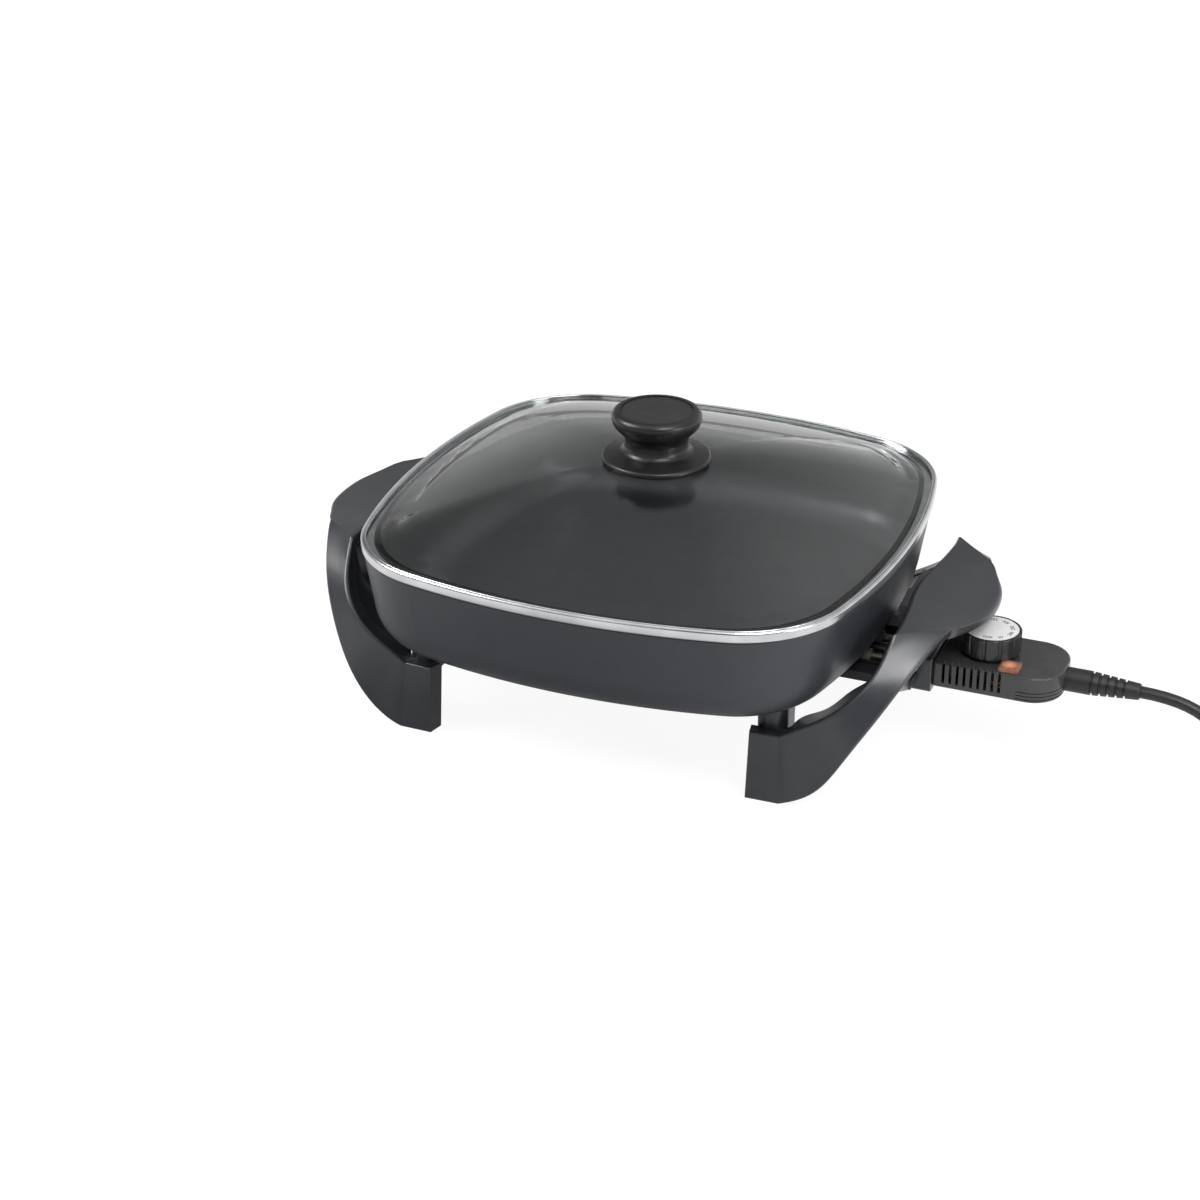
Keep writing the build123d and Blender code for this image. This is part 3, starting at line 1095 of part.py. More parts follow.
SHAFT_TOP = DIAL_BOTTOM + SHAFT_SOCKET
CAM_BOTTOM = HOUSING_CEILING - CAM_GAP - CAM_THICKNESS
with BuildPart() as dial_knob:
    with Locations((DIAL_X, 0, DIAL_BOTTOM)):
        Cylinder(DIAL_RADIUS, DIAL_HEIGHT, align=BOTTOM_UP)
    fillet(dial_knob.edges().group_by(Axis.Z)[-1], DIAL_EDGE_ROUND)
    with BuildSketch(Plane.XY.offset(DIAL_BOTTOM)):
        with Locations((DIAL_X, 0)):
            with PolarLocations(DIAL_RADIUS + FLUTE_OFFSET, FLUTE_COUNT):
                Circle(FLUTE_RADIUS)
    extrude(amount=DIAL_HEIGHT, mode=Mode.SUBTRACT)
    with Locations((DIAL_X, 0, DIAL_BOTTOM)):
        Cylinder(DIAL_RADIUS - DIAL_WALL, DIAL_HEIGHT - 2 * DIAL_WALL, align=BOTTOM_UP, mode=Mode.SUBTRACT)
        Cylinder(DIAL_HUB_RADIUS, DIAL_HEIGHT - DIAL_WALL, align=BOTTOM_UP)
        Cylinder(SHAFT_RADIUS, SHAFT_SOCKET, align=BOTTOM_UP, mode=Mode.SUBTRACT)
    with Locations((DIAL_X, 0, DIAL_TOP - PLATE_SINK - PLATE_THICKNESS)):
        Cylinder(PLATE_RADIUS, PLATE_THICKNESS + PLATE_SINK, align=BOTTOM_UP, mode=Mode.SUBTRACT)
dial_knob.part.label = "dial_knob"

with BuildPart() as dial_plate:
    with Locations((DIAL_X, 0, DIAL_TOP - PLATE_SINK - PLATE_THICKNESS)):
        Cylinder(PLATE_RADIUS, PLATE_THICKNESS, align=BOTTOM_UP)
dial_plate.part.label = "dial_plate"

# Adjusting shaft: a flatted spindle with an eccentric cam at its foot
with BuildPart() as dial_shaft:
    with Locations((DIAL_X, 0, CAM_BOTTOM)):
        Cylinder(SHAFT_RADIUS, SHAFT_TOP - CAM_BOTTOM, align=BOTTOM_UP)
    with Locations((DIAL_X + CAM_OFFSET, 0, CAM_BOTTOM)):
        Cylinder(CAM_RADIUS, CAM_THICKNESS, align=BOTTOM_UP)
dial_shaft.part.label = "dial_shaft"

# ---------------------------------------------------------------- mains lead

def lead(route):
    """Round tube along straight runs joined by the largest arcs that the runs allow."""
    radii = bend_radii(route)
    with BuildPart() as tube:
        with BuildLine():
            path = FilletPolyline(*route, radius=radii)
        with BuildSketch(Plane(origin=path @ 0, z_dir=path % 0)):
            Circle(CORD_RADIUS)
        sweep()
    section = pi * CORD_RADIUS ** 2
    print("bend radii", [round(radius, 1) for radius in radii], "length", round(path.length, 1))
    print("volume over section times length", round(tube.part.volume / (section * path.length), 5))
    return tube.part


with BuildPart() as power_cord:
    add(lead(CORD_ROUTE))
power_cord.part.label = "power_cord"

# The put-away length, wound flat: its outer shape
with BuildPart() as cord_coil:
    with BuildSketch(Plane.XY):
        with Locations(COIL_CENTRE):
            Circle(COIL_OUTER_RADIUS)
            Circle(COIL_INNER_RADIUS, mode=Mode.SUBTRACT)
    extrude(amount=COIL_HEIGHT)
    fillet(cord_coil.edges().filter_by(GeomType.CIRCLE), COIL_EDGE_ROUND)
cord_coil.part.label = "cord_coil"

with BuildPart() as cord_tail:
    add(lead(TAIL_ROUTE))
cord_tail.part.label = "cord_tail"

# Two-blade plug on the tail's end
tail_heading = Vector(*TAIL_ROUTE[-1]) - Vector(*TAIL_ROUTE[-2])
plug_start = Plane(origin=TAIL_ROUTE[-1], x_dir=(tail_heading.Y, -tail_heading.X, 0), z_dir=tail_heading)
plug_face = plug_start.offset(PLUG_LENGTH)
with BuildPart() as plug_body:
    with BuildSketch(plug_start):
        RectangleRounded(PLUG_TAIL_WIDTH, PLUG_TAIL_HEIGHT, PLUG_ROUND)
    with BuildSketch(plug_start.offset(PLUG_TAIL_LENGTH)):
        RectangleRounded(PLUG_WIDTH, PLUG_HEIGHT, PLUG_ROUND)
    loft()
    with BuildSketch(plug_start.offset(PLUG_TAIL_LENGTH)):
        RectangleRounded(PLUG_WIDTH, PLUG_HEIGHT, PLUG_ROUND)
    extrude(amount=PLUG_LENGTH - PLUG_TAIL_LENGTH)
    with BuildSketch(plug_face):
        with Locations((-BLADE_SPACING / 2, 0), (BLADE_SPACING / 2, 0)):
            Rectangle(PLUG_BLADE_THICKNESS, PLUG_BLADE_WIDTH)
    extrude(amount=-PLUG_BLADE_ROOT, mode=Mode.SUBTRACT)
plug_body.part.label = "plug_body"

with BuildPart() as plug_blades:
    with BuildSketch(plug_face.offset(-PLUG_BLADE_ROOT)):
        with Locations((-BLADE_SPACING / 2, 0), (BLADE_SPACING / 2, 0)):
            Rectangle(PLUG_BLADE_THICKNESS, PLUG_BLADE_WIDTH)
    extrude(amount=PLUG_BLADE_ROOT + PLUG_BLADE_LENGTH)
plug_blades.part.label = "plug_blades"

# ---------------------------------------------------------------- export

PIECES = [
    pan, heating_element, element_seals, terminal_pins,
    left_handle_leg, right_handle_leg, handle_screws, probe_guard, guard_screws,
    lid_glass, lid_rim, lid_knob, knob_disc, knob_insert, knob_gasket, knob_washer, knob_screw,
    control_base, control_cover, cover_screws, contact_sleeves, contact_block, sensor_stem,
    thermostat_frame, blade_insulators, bimetal_blade, switch_blade, neon_lamp, lamp_resistor, lamp_lens,
    strain_relief, dial_knob, dial_plate, dial_shaft,
    power_cord, cord_coil, cord_tail, plug_body, plug_blades,
]
for piece in PIECES:
    centred = piece.part.moved(Location((-FOOTPRINT_MIDDLE, 0, 0)))
    centred.label = piece.part.label
    export_step(centred, f"parts/{centred.label}.step")
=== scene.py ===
import json
import math

import bmesh
import bpy
from mathutils import Euler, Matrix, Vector


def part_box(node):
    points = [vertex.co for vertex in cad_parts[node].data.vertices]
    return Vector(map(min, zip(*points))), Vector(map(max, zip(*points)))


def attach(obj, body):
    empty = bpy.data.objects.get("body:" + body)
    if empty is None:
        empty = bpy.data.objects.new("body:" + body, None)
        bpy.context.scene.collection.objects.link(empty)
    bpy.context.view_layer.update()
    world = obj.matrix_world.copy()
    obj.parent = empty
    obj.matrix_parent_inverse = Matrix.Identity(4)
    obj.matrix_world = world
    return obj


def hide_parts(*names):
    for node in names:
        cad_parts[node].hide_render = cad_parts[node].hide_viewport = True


# Electric skillet, dressed on its CAD frame. Metres, +Z up, +X towards the plug-in control.

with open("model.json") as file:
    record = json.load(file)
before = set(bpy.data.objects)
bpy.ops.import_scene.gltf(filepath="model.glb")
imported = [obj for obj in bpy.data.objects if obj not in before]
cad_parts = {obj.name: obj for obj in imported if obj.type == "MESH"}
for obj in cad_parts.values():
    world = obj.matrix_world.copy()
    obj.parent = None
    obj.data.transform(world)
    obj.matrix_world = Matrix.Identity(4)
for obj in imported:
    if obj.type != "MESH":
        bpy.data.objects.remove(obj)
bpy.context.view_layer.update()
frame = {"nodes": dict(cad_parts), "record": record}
node_objects = frame["nodes"]

# ---------------------------------------------------------------- camera

CAMERA_PLACE = (0.4463, -1.2781, 0.7374)
CAMERA_AZIMUTH = 22.29
CAMERA_ELEVATION = 26.55
CAMERA_LENS = 76.58             # mm
CAMERA_SENSOR = 36.0


def make_camera():
    """Camera where the photograph was taken from."""
    data = bpy.data.cameras.new("camera")
    data.lens = CAMERA_LENS
    data.sensor_width = CAMERA_SENSOR
    camera = bpy.data.objects.new("camera", data)
    bpy.context.scene.collection.objects.link(camera)
    camera.location = CAMERA_PLACE
    camera.rotation_euler = (math.radians(90 - CAMERA_ELEVATION), 0, math.radians(CAMERA_AZIMUTH))
    bpy.context.scene.camera = camera


make_camera()

# ---------------------------------------------------------------- materials


def linear(red, green, blue):
    """A colour as it looks on screen, 0 to 255, in linear light."""
    def channel(value):
        share = value / 255
        return share / 12.92 if share <= 0.04045 else ((share + 0.055) / 1.055) ** 2.4
    return (channel(red), channel(green), channel(blue), 1.0)


class Surface:
    """One material round a Principled shader, with the noise, bump and mixing nodes that it needs."""

    def __init__(self, name, colour, roughness, metallic=0.0, **sockets):
        self.material = bpy.data.materials.new(name)
        self.material.use_nodes = True
        self.tree = self.material.node_tree
        self.shader = self.tree.nodes["Principled BSDF"]
        self.shader.inputs["Base Color"].default_value = colour
        self.shader.inputs["Roughness"].default_value = roughness
        self.shader.inputs["Metallic"].default_value = metallic
        for socket, value in sockets.items():
            self.shader.inputs[socket.replace("_", " ")].default_value = value
        self.place = self.tree.nodes.new("ShaderNodeTexCoord").outputs["Object"]

    def node(self, kind, **inputs):
        """A node of that kind; each input is a value, or an output socket to link."""
        made = self.tree.nodes.new(kind)
        for name, value in inputs.items():
            socket = made.inputs[name.replace("_", " ")]
            if isinstance(value, bpy.types.NodeSocket):
                self.tree.links.new(value, socket)
            else:
                socket.default_value = value
        return made

    def noise(self, size, detail=3.0, rough=0.5, stretch=(1, 1, 1)):
        """Noise whose features are about that size, in metres."""
        mapping = self.node("ShaderNodeMapping", Vector=self.place, Scale=stretch)
        texture = self.node(
            "ShaderNodeTexNoise", Vector=mapping.outputs["Vector"],
            Scale=1 / size, Detail=detail, Roughness=rough,
        )
        return texture.outputs["Fac"]

    def specks(self, size):
        """Distance to the nearest of many scattered points about that far apart."""
        texture = self.node("ShaderNodeTexVoronoi", Vector=self.place, Scale=1 / size)
        return texture.outputs["Distance"]

    def ramp(self, value, low, high, start=0.35, end=0.65):
        """A number that goes from low to high while value goes from start to end."""
        scaled = self.tree.nodes.new("ShaderNodeMapRange")
        self.tree.links.new(value, scaled.inputs["Value"])
        for name, number in (("From Min", start), ("From Max", end), ("To Min", low), ("To Max", high)):
            scaled.inputs[name].default_value = number
        return scaled.outputs["Result"]

    def vary_colour(self, value, first, second):
        """Base colour that goes from first to second as value goes from 0 to 1."""
        mix = self.tree.nodes.new("ShaderNodeMix")
        mix.data_type = "RGBA"
        mix.inputs["A"].default_value = first
        mix.inputs["B"].default_value = second
        self.tree.links.new(value, mix.inputs["Factor"])
        self.tree.links.new(mix.outputs["Result"], self.shader.inputs["Base Color"])

    def vary_roughness(self, value):
        self.tree.links.new(value, self.shader.inputs["Roughness"])

    def bump(self, *layers):
        """Bump from (height output, depth in metres) pairs, one on top of the other."""
        normal = None
        for height, depth in layers:
            bump = self.node("ShaderNodeBump", Height=height, Strength=1.0, Distance=depth)
            if normal is not None:
                self.tree.links.new(normal, bump.inputs["Normal"])
            normal = bump.outputs["Normal"]
        self.tree.links.new(normal, self.shader.inputs["Normal"])


def nonstick_coat():
    """Dark satin coat on cast aluminium: fine orange peel, a faint fleck."""
    look = Surface("coated_aluminium", linear(48, 50, 55), 0.4)
    fleck = look.ramp(look.noise(0.0006, 2.0), 0.0, 1.0, 0.3, 0.7)
    look.vary_colour(fleck, linear(44, 46, 51), linear(52, 54, 59))
    look.vary_roughness(look.ramp(look.noise(0.02), 0.34, 0.42))
    look.bump((look.noise(0.0009, 2.0), 0.00002), (look.noise(0.006), 0.00003))
    return look.material


def phenolic():
    """Moulded phenolic: satin, a little mottled, with a fine moulded grain."""
    look = Surface("phenolic", linear(39, 41, 46), 0.34, Coat_Weight=0.6, Coat_Roughness=0.3)
    look.vary_colour(look.ramp(look.noise(0.03), 0.0, 1.0), linear(36, 38, 43), linear(42, 44, 49))
    look.vary_roughness(look.ramp(look.noise(0.012), 0.3, 0.38))
    look.bump((look.noise(0.0007, 2.0), 0.000015), (look.noise(0.01), 0.00005))
    return look.material


def tempered_glass():
    """Clear glass with the faintest tint, slightly wavy, and a trace of grease film."""
    look = Surface(
        "tempered_glass", linear(250, 253, 253), 0.02, Transmission_Weight=1.0, IOR=1.5, Coat_Weight=0.0,
    )
    look.vary_roughness(look.ramp(look.noise(0.03), 0.0, 0.03, 0.45, 0.75))
    look.bump((look.noise(0.06, 1.0), 0.00008))
    return look.material


def rim_steel():
    """Rolled stainless steel, polished, with drawing lines that follow the rim's height."""
    look = Surface("rim_steel", linear(216, 217, 219), 0.21, 1.0)
    look.vary_colour(look.ramp(look.noise(0.02), 0.0, 1.0), linear(208, 209, 212), linear(224, 225, 226))
    lines = look.noise(0.0004, 1.0, stretch=(0.02, 0.02, 1.0))
    look.vary_roughness(look.ramp(lines, 0.16, 0.26))
    look.bump((lines, 0.000001))
    return look.material


def dark_gloss(name, tone, roughness, grain):
    """Dark moulded plastic: the tone is its grey on screen, the grain the depth of its texture."""
    look = Surface(name, linear(tone, tone, tone + 1), roughness)
    mottle = look.ramp(look.noise(0.015), 0.0, 1.0)
    look.vary_colour(mottle, linear(tone - 3, tone - 3, tone - 2), linear(tone + 3, tone + 3, tone + 4))
    look.vary_roughness(look.ramp(look.noise(0.004), 0.85 * roughness, 1.2 * roughness))
    look.bump((look.noise(0.0006, 2.0), grain), (look.noise(0.008), 3 * grain))
    return look.material


def plated_steel(name, tone, roughness):
    """Zinc- or nickel-plated steel, clouded, with fine turning marks."""
    look = Surface(name, linear(tone, tone, tone - 2), roughness, 1.0)
    cloud = look.ramp(look.noise(0.003), 0.0, 1.0)
    look.vary_colour(cloud, linear(tone - 14, tone - 15, tone - 18), linear(tone + 10, tone + 10, tone + 8))
    look.vary_roughness(look.ramp(look.noise(0.0015), 0.8 * roughness, 1.4 * roughness))
    look.bump((look.noise(0.0003, 2.0, stretch=(1, 1, 6)), 0.00001))
    return look.material


def element_sheath():
    """Heated sheath: dull brown-grey oxide with straw and blue temper."""
    look = Surface("element_sheath", linear(98, 92, 86), 0.42, 0.85)
    look.vary_colour(look.ramp(look.noise(0.018), 0.0, 1.0), linear(84, 80, 80), linear(122, 108, 88))
    look.vary_roughness(look.ramp(look.noise(0.003), 0.34, 0.55))
    look.bump((look.noise(0.0005, 2.0), 0.00002))
    return look.material


def ceramic():
    """Unglazed ceramic, a little uneven."""
    look = Surface("ceramic", linear(122, 116, 106), 0.6)
    look.vary_colour(look.ramp(look.noise(0.003), 0.0, 1.0), linear(110, 104, 94), linear(134, 129, 120))
    look.bump((look.noise(0.0004, 2.0), 0.00003))
    return look.material


def brass():
    """Turned brass, slightly tarnished."""
    look = Surface("brass", linear(196, 158, 84), 0.34, 1.0)
    look.vary_colour(look.ramp(look.noise(0.002), 0.0, 1.0), linear(178, 138, 70), linear(208, 172, 98))
    look.vary_roughness(look.ramp(look.noise(0.001), 0.29, 0.4))
    look.bump((look.noise(0.0003, 1.0, stretch=(1, 1, 8)), 0.00001))
    return look.material


def silicone():
    """Soft grey silicone rubber."""
    look = Surface("silicone", linear(150, 150, 148), 0.55, Subsurface_Weight=0.1)
    look.vary_colour(look.ramp(look.noise(0.004), 0.0, 1.0), linear(140, 140, 138), linear(158, 158, 156))
    look.bump((look.noise(0.0005, 2.0), 0.00002))
    return look.material


def printed_plate():
    """White dial plate with a faint orange peel."""
    look = Surface("dial_white", linear(240, 240, 239), 0.4)
    look.vary_colour(look.ramp(look.noise(0.006), 0.0, 1.0), linear(236, 236, 235), linear(244, 244, 243))
    look.vary_roughness(look.ramp(look.noise(0.002), 0.34, 0.48))
    look.bump((look.noise(0.0006, 2.0), 0.00001))
    return look.material


LENS_GLOW_RADIUS = 0.0055
LENS_GLOW_MIDDLE = 0.9
LENS_GLOW_EDGE = 0.05


def amber_lens():
    """Lit amber lens: clear plastic that glows at its middle, over the lamp."""
    look = Surface(
        "amber_lens", linear(128, 86, 68), 0.18, Transmission_Weight=0.25, IOR=1.49,
        Emission_Color=linear(246, 172, 138),
    )
    look.vary_colour(look.ramp(look.noise(0.004), 0.0, 1.0), linear(112, 76, 60), linear(144, 98, 78))
    low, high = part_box("lamp_lens")
    away = look.tree.nodes.new("ShaderNodeVectorMath")
    away.operation = "DISTANCE"
    look.tree.links.new(look.place, away.inputs[0])
    away.inputs[1].default_value = (low + high) / 2
    glow = look.ramp(away.outputs["Value"], LENS_GLOW_MIDDLE, LENS_GLOW_EDGE, 0.0, LENS_GLOW_RADIUS)
    look.tree.links.new(glow, look.shader.inputs["Emission Strength"])
    look.vary_roughness(look.ramp(look.noise(0.002), 0.12, 0.26))
    look.bump((look.specks(0.0016), 0.00015))
    return look.material


def lamp_glass():
    """Thin glass envelope of the neon lamp, with its warm glow."""
    look = Surface("lamp_glass", linear(250, 210, 170), 0.05, Transmission_Weight=0.8, IOR=1.5)
    look.vary_roughness(look.ramp(look.noise(0.002), 0.02, 0.1))
    look.bump((look.noise(0.002), 0.00005))
    return look.material


def resistor_body():
    """Lacquered tan body of the lamp's resistor."""
    look = Surface("resistor_body", linear(176, 144, 100), 0.45)
    look.vary_colour(look.ramp(look.noise(0.0012), 0.0, 1.0), linear(160, 128, 86), linear(190, 158, 114))
    look.bump((look.noise(0.0005, 2.0), 0.00002))
    return look.material


def vinyl(name, tone):
    """Flexible vinyl: satin, with the faint waviness of an extruded jacket."""
    look = Surface(name, linear(tone, tone, tone + 1), 0.42)
    look.vary_colour(look.ramp(look.noise(0.01), 0.0, 1.0), linear(tone - 4, tone - 4, tone - 3),
                     linear(tone + 4, tone + 4, tone + 5))
    look.vary_roughness(look.ramp(look.noise(0.005), 0.36, 0.5))
    look.bump((look.noise(0.0005, 2.0), 0.00002), (look.noise(0.006), 0.00008))
    return look.material


MATERIALS = {
    "coated_aluminium": nonstick_coat(),
    "phenolic": phenolic(),
    "fastener_steel": plated_steel("fastener_steel", 188, 0.36),
    "element_sheath": element_sheath(),
    "ceramic": ceramic(),
    "nickel_pins": plated_steel("nickel_pins", 176, 0.36),
    "tempered_glass": tempered_glass(),
    "rim_steel": rim_steel(),
    "knob_plastic": dark_gloss("knob_plastic", 24, 0.34, 0.000002),
    "disc_plastic": dark_gloss("disc_plastic", 36, 0.5, 0.00001),
    "brass_insert": brass(),
    "silicone": silicone(),
    "control_plastic": dark_gloss("control_plastic", 60, 0.2, 0.000003),
    "dial_plastic": dark_gloss("dial_plastic", 42, 0.14, 0.000003),
    "dial_white": printed_plate(),
    "amber_lens": amber_lens(),
    "lamp_glass": lamp_glass(),
    "resistor_body": resistor_body(),
    "stem_steel": plated_steel("stem_steel", 212, 0.18),
    "frame_steel": plated_steel("frame_steel", 182, 0.4),
    "cord_vinyl": vinyl("cord_vinyl", 30),
    "plug_vinyl": vinyl("plug_vinyl", 44),
}

for entry in frame["record"]["subparts"]:
    materials = node_objects[entry["node"]].data.materials
    materials.clear()
    materials.append(MATERIALS[entry["material_slot"]])

# ---------------------------------------------------------------- lid glass

PANE_GAP = 0.0002               # between the pane's edge and the steel channel that holds it
PANE_EDGE_THICKNESS = 0.0041


def make_pane():
    """The domed pane, its edge a hair thinner and smaller than the channel round it, so light gets out."""
    node = node_objects["lid_glass"]
    pane = bpy.data.objects.new("lid_pane", node.data.copy())
    bpy.context.scene.collection.objects.link(pane)
    low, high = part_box("lid_glass")
    middle = (low + high) / 2
    edge_top = low.z + PANE_EDGE_THICKNESS
    shrink = 1 - PANE_GAP / (high.x - middle.x)
    for vertex in pane.data.vertices:
        place = vertex.co
        if place.z < edge_top + PANE_GAP:
            place.x = middle.x + (place.x - middle.x) * shrink
            place.y = middle.y + (place.y - middle.y) * shrink
            place.z += PANE_GAP if place.z < (low.z + edge_top) / 2 else -PANE_GAP
    pane.visible_diffuse = False
    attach(pane, "lid")
    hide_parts("lid_glass")


make_pane()

# ---------------------------------------------------------------- lid rim

# Plan outline of the rim's outer face, in metres
RIM_HALF_WIDTH = 0.155          # pan's middle to mid-side
SIDE_BOW_RADIUS = 0.418
CORNER_RADIUS = 0.069
SIDE_STATIONS = 48
CORNER_STATIONS = 32
BAND_HEIGHT = 0.0065
SHARP_EDGE_ANGLE = 40           # degrees

# Section of the rim, in millimetres: insets from its outer face, heights from the pan's lip
RIM_SHEET = 1.2
FOOT_ROUND = 1.4
SHOULDER_ROUND = 1.7
SHOULDER_HEIGHT = 4.7
SHOULDER_END = 78               # degrees
BEAD_ROUND = 0.55
BEAD_INSET = 2.65
BEAD_HEIGHT = 5.95
BEAD_START = -35                # degrees
FLANGE_INSET = 3.2
CHANNEL_TOP = 5.35
SKIRT_OUTER_INSET = 6.4
SKIRT_INNER_INSET = 7.6
SKIRT_DROP = 3.0


def arc(inset, height, radius, start, end, steps):
    """Section points on an arc: 0 degrees is outermost, 90 the top, 180 innermost."""
    for step in range(steps + 1):
        turn = math.radians(start + (end - start) * step / steps)
        yield (inset - radius * math.cos(turn), height + radius * math.sin(turn))


def rim_section():
    """Section of the rolled rim, in millimetres inwards from its outer face and up from the pan's lip."""
    return [
        *arc(FOOT_ROUND, FOOT_ROUND, FOOT_ROUND, -90, 0, 6),
        *arc(SHOULDER_ROUND, SHOULDER_HEIGHT, SHOULDER_ROUND, 0, SHOULDER_END, 8),
        # Bead that clamps the glass, past a groove
        *arc(BEAD_INSET, BEAD_HEIGHT, BEAD_ROUND, BEAD_START, 180, 14),
        # Channel round the glass edge
        (FLANGE_INSET, CHANNEL_TOP),
        (RIM_SHEET, CHANNEL_TOP),
        (RIM_SHEET, RIM_SHEET),
        # Skirt inside the pan's lip
        (SKIRT_INNER_INSET, RIM_SHEET),
        (SKIRT_INNER_INSET, -SKIRT_DROP),
        (SKIRT_OUTER_INSET, -SKIRT_DROP),
        (SKIRT_OUTER_INSET, 0.0),
    ]


def outline_stations():
    """Points of the rim's plan outline, each with its outward direction, about the pan's middle."""
    side_offset = RIM_HALF_WIDTH - SIDE_BOW_RADIUS
    reach = SIDE_BOW_RADIUS - CORNER_RADIUS
    corner = (side_offset + math.sqrt(2 * reach ** 2 - side_offset ** 2)) / 2
    half_sweep = math.atan2(corner, corner - side_offset)
    for quarter in range(4):
        turn = quarter * math.pi / 2
        spans = (
            ((side_offset, 0), SIDE_BOW_RADIUS, -half_sweep, 2 * half_sweep, SIDE_STATIONS),
            ((corner, corner), CORNER_RADIUS, half_sweep, math.pi / 2 - 2 * half_sweep, CORNER_STATIONS),
        )
        for centre, radius, start, sweep, count in spans:
            centre = Vector(centre).to_3d()
            centre.rotate(Euler((0, 0, turn)))
            for index in range(count):
                angle = turn + start + sweep * index / count
                outwards = Vector((math.cos(angle), math.sin(angle), 0))
                yield centre + radius * outwards, outwards


def make_rim():
    """Rolled steel rim swept round the outline: band, groove, bead, channel and skirt."""
    low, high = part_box("lid_rim")
    middle = (low + high) / 2
    lip = Vector((middle.x, middle.y, high.z - BAND_HEIGHT))
    section = rim_section()
    built = bmesh.new()
    rings = []
    for place, outwards in outline_stations():
        rings.append([
            built.verts.new(lip + place - outwards * inset / 1000 + Vector((0, 0, height / 1000)))
            for inset, height in section
        ])
    for ring, following in zip(rings, rings[1:] + rings[:1]):
        for index in range(len(section)):
            corners = (ring[index - 1], following[index - 1], following[index], ring[index])
            built.faces.new(corners).smooth = True
    bmesh.ops.recalc_face_normals(built, faces=built.faces)
    mesh = bpy.data.meshes.new("rim_of_lid")
    built.to_mesh(mesh)
    built.free()
    mesh.set_sharp_from_angle(angle=math.radians(SHARP_EDGE_ANGLE))
    mesh.materials.append(MATERIALS["rim_steel"])
    rim = bpy.data.objects.new("rim_of_lid", mesh)
    bpy.context.scene.collection.objects.link(rim)
    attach(rim, "lid")
    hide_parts("lid_rim")


make_rim()

# ---------------------------------------------------------------- mains lead

CORD_DIAMETER = 0.007
CORD_ROUTE = [
    (0.2499, 0.0, 0.0516),
    (0.2739, 0.0, 0.0516),
    (0.2989, -0.002, 0.037),
    (0.3199, -0.001, 0.016),
    (0.3419, 0.006, 0.0036),
]
COIL_CENTRE = (0.3449, 0.056)
COIL_OUTER_TURN = 0.0424        # radius of the lead's centre line in the outermost turn
COIL_PITCH = 0.0072
COIL_START_ANGLE = -64.0
COIL_SWEEP = 1124.0             # degrees: half of it winds inwards on the floor, half outwards on top
COIL_POINTS_PER_TURN = 14
COIL_FLOOR = 0.0036
COIL_CLIMB = 100.0              # degrees over which the lead climbs to the upper layer
TAIL_ROUTE = [
    (0.3912, 0.0596, 0.0088),
    (0.3989, 0.0774, 0.0088),
]


def coil_points():
    """Two flat spirals, one on the other, joined at their inner ends."""
    count = round(COIL_SWEEP / 360 * COIL_POINTS_PER_TURN)
    step = COIL_SWEEP / count
    corner_cut = (1 + math.cos(math.radians(step))) / 2
    for index in range(count + 1):
        swept = index * step
        inwards = min(swept, COIL_SWEEP - swept)
        radius = (COIL_OUTER_TURN - COIL_PITCH * inwards / 360) / math.sqrt(corner_cut)
        climbed = min(max((swept - COIL_SWEEP / 2) / COIL_CLIMB + 0.5, 0), 1)
        height = COIL_FLOOR + COIL_PITCH * climbed * climbed * (3 - 2 * climbed)
        angle = math.radians(COIL_START_ANGLE + swept)
        yield (
            COIL_CENTRE[0] + radius * math.cos(angle), COIL_CENTRE[1] + radius * math.sin(angle), height,
        )


def make_lead():
    """The mains lead, from the control down to the table, round its coil and on to the plug."""
    points = CORD_ROUTE + list(coil_points()) + TAIL_ROUTE
    curve = bpy.data.curves.new("mains_lead", "CURVE")
    curve.dimensions = "3D"
    curve.bevel_depth = CORD_DIAMETER / 2
    curve.bevel_resolution = 4
    curve.resolution_u = 6
    spline = curve.splines.new("NURBS")
    spline.points.add(len(points) - 1)
    for point, place in zip(spline.points, points):
        point.co = (*place, 1.0)
    spline.order_u = 3
    spline.use_endpoint_u = True
    spline.use_smooth = True
    curve.materials.append(MATERIALS["cord_vinyl"])
    lead = bpy.data.objects.new("mains_lead", curve)
    bpy.context.scene.collection.objects.link(lead)
    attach(lead, "control")
    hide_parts("power_cord", "cord_coil", "cord_tail")


make_lead()

# ---------------------------------------------------------------- dial scale

DIAL_NUMBERS = [("OFF", 0), ("W", 38), ("200", 76), ("250", 114), ("300", 152), ("350", 190), ("400", 228),
                ("450", 266)]
NUMBER_HEIGHT = 0.0032
NUMBER_RING = 0.0116
PRINT_THICKNESS = 0.00008


def dial_centre():
    """Middle of the dial plate's top face."""
    low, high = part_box("dial_plate")
    return Vector(((low.x + high.x) / 2, (low.y + high.y) / 2, high.z))


def print_number(text, angle):
    """A number near the plate's edge, with its foot outwards so that it reads from the dial's rim."""
    curve = bpy.data.curves.new("dial_" + text, "FONT")
    curve.body = text
    curve.size = NUMBER_HEIGHT
    curve.align_x = "CENTER"
    curve.align_y = "CENTER"
    curve.extrude = PRINT_THICKNESS
    curve.materials.append(MATERIALS["dial_plastic"])
    number = bpy.data.objects.new("dial_" + text, curve)
    bpy.context.scene.collection.objects.link(number)
    turn = math.radians(-90 + angle)
    number.location = dial_centre() + NUMBER_RING * Vector((math.cos(turn), math.sin(turn), 0))
    number.rotation_euler = (0, 0, turn + math.pi / 2)
    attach(number, "dial")


for text, angle in DIAL_NUMBERS:
    print_number(text, angle)

# ---------------------------------------------------------------- studio

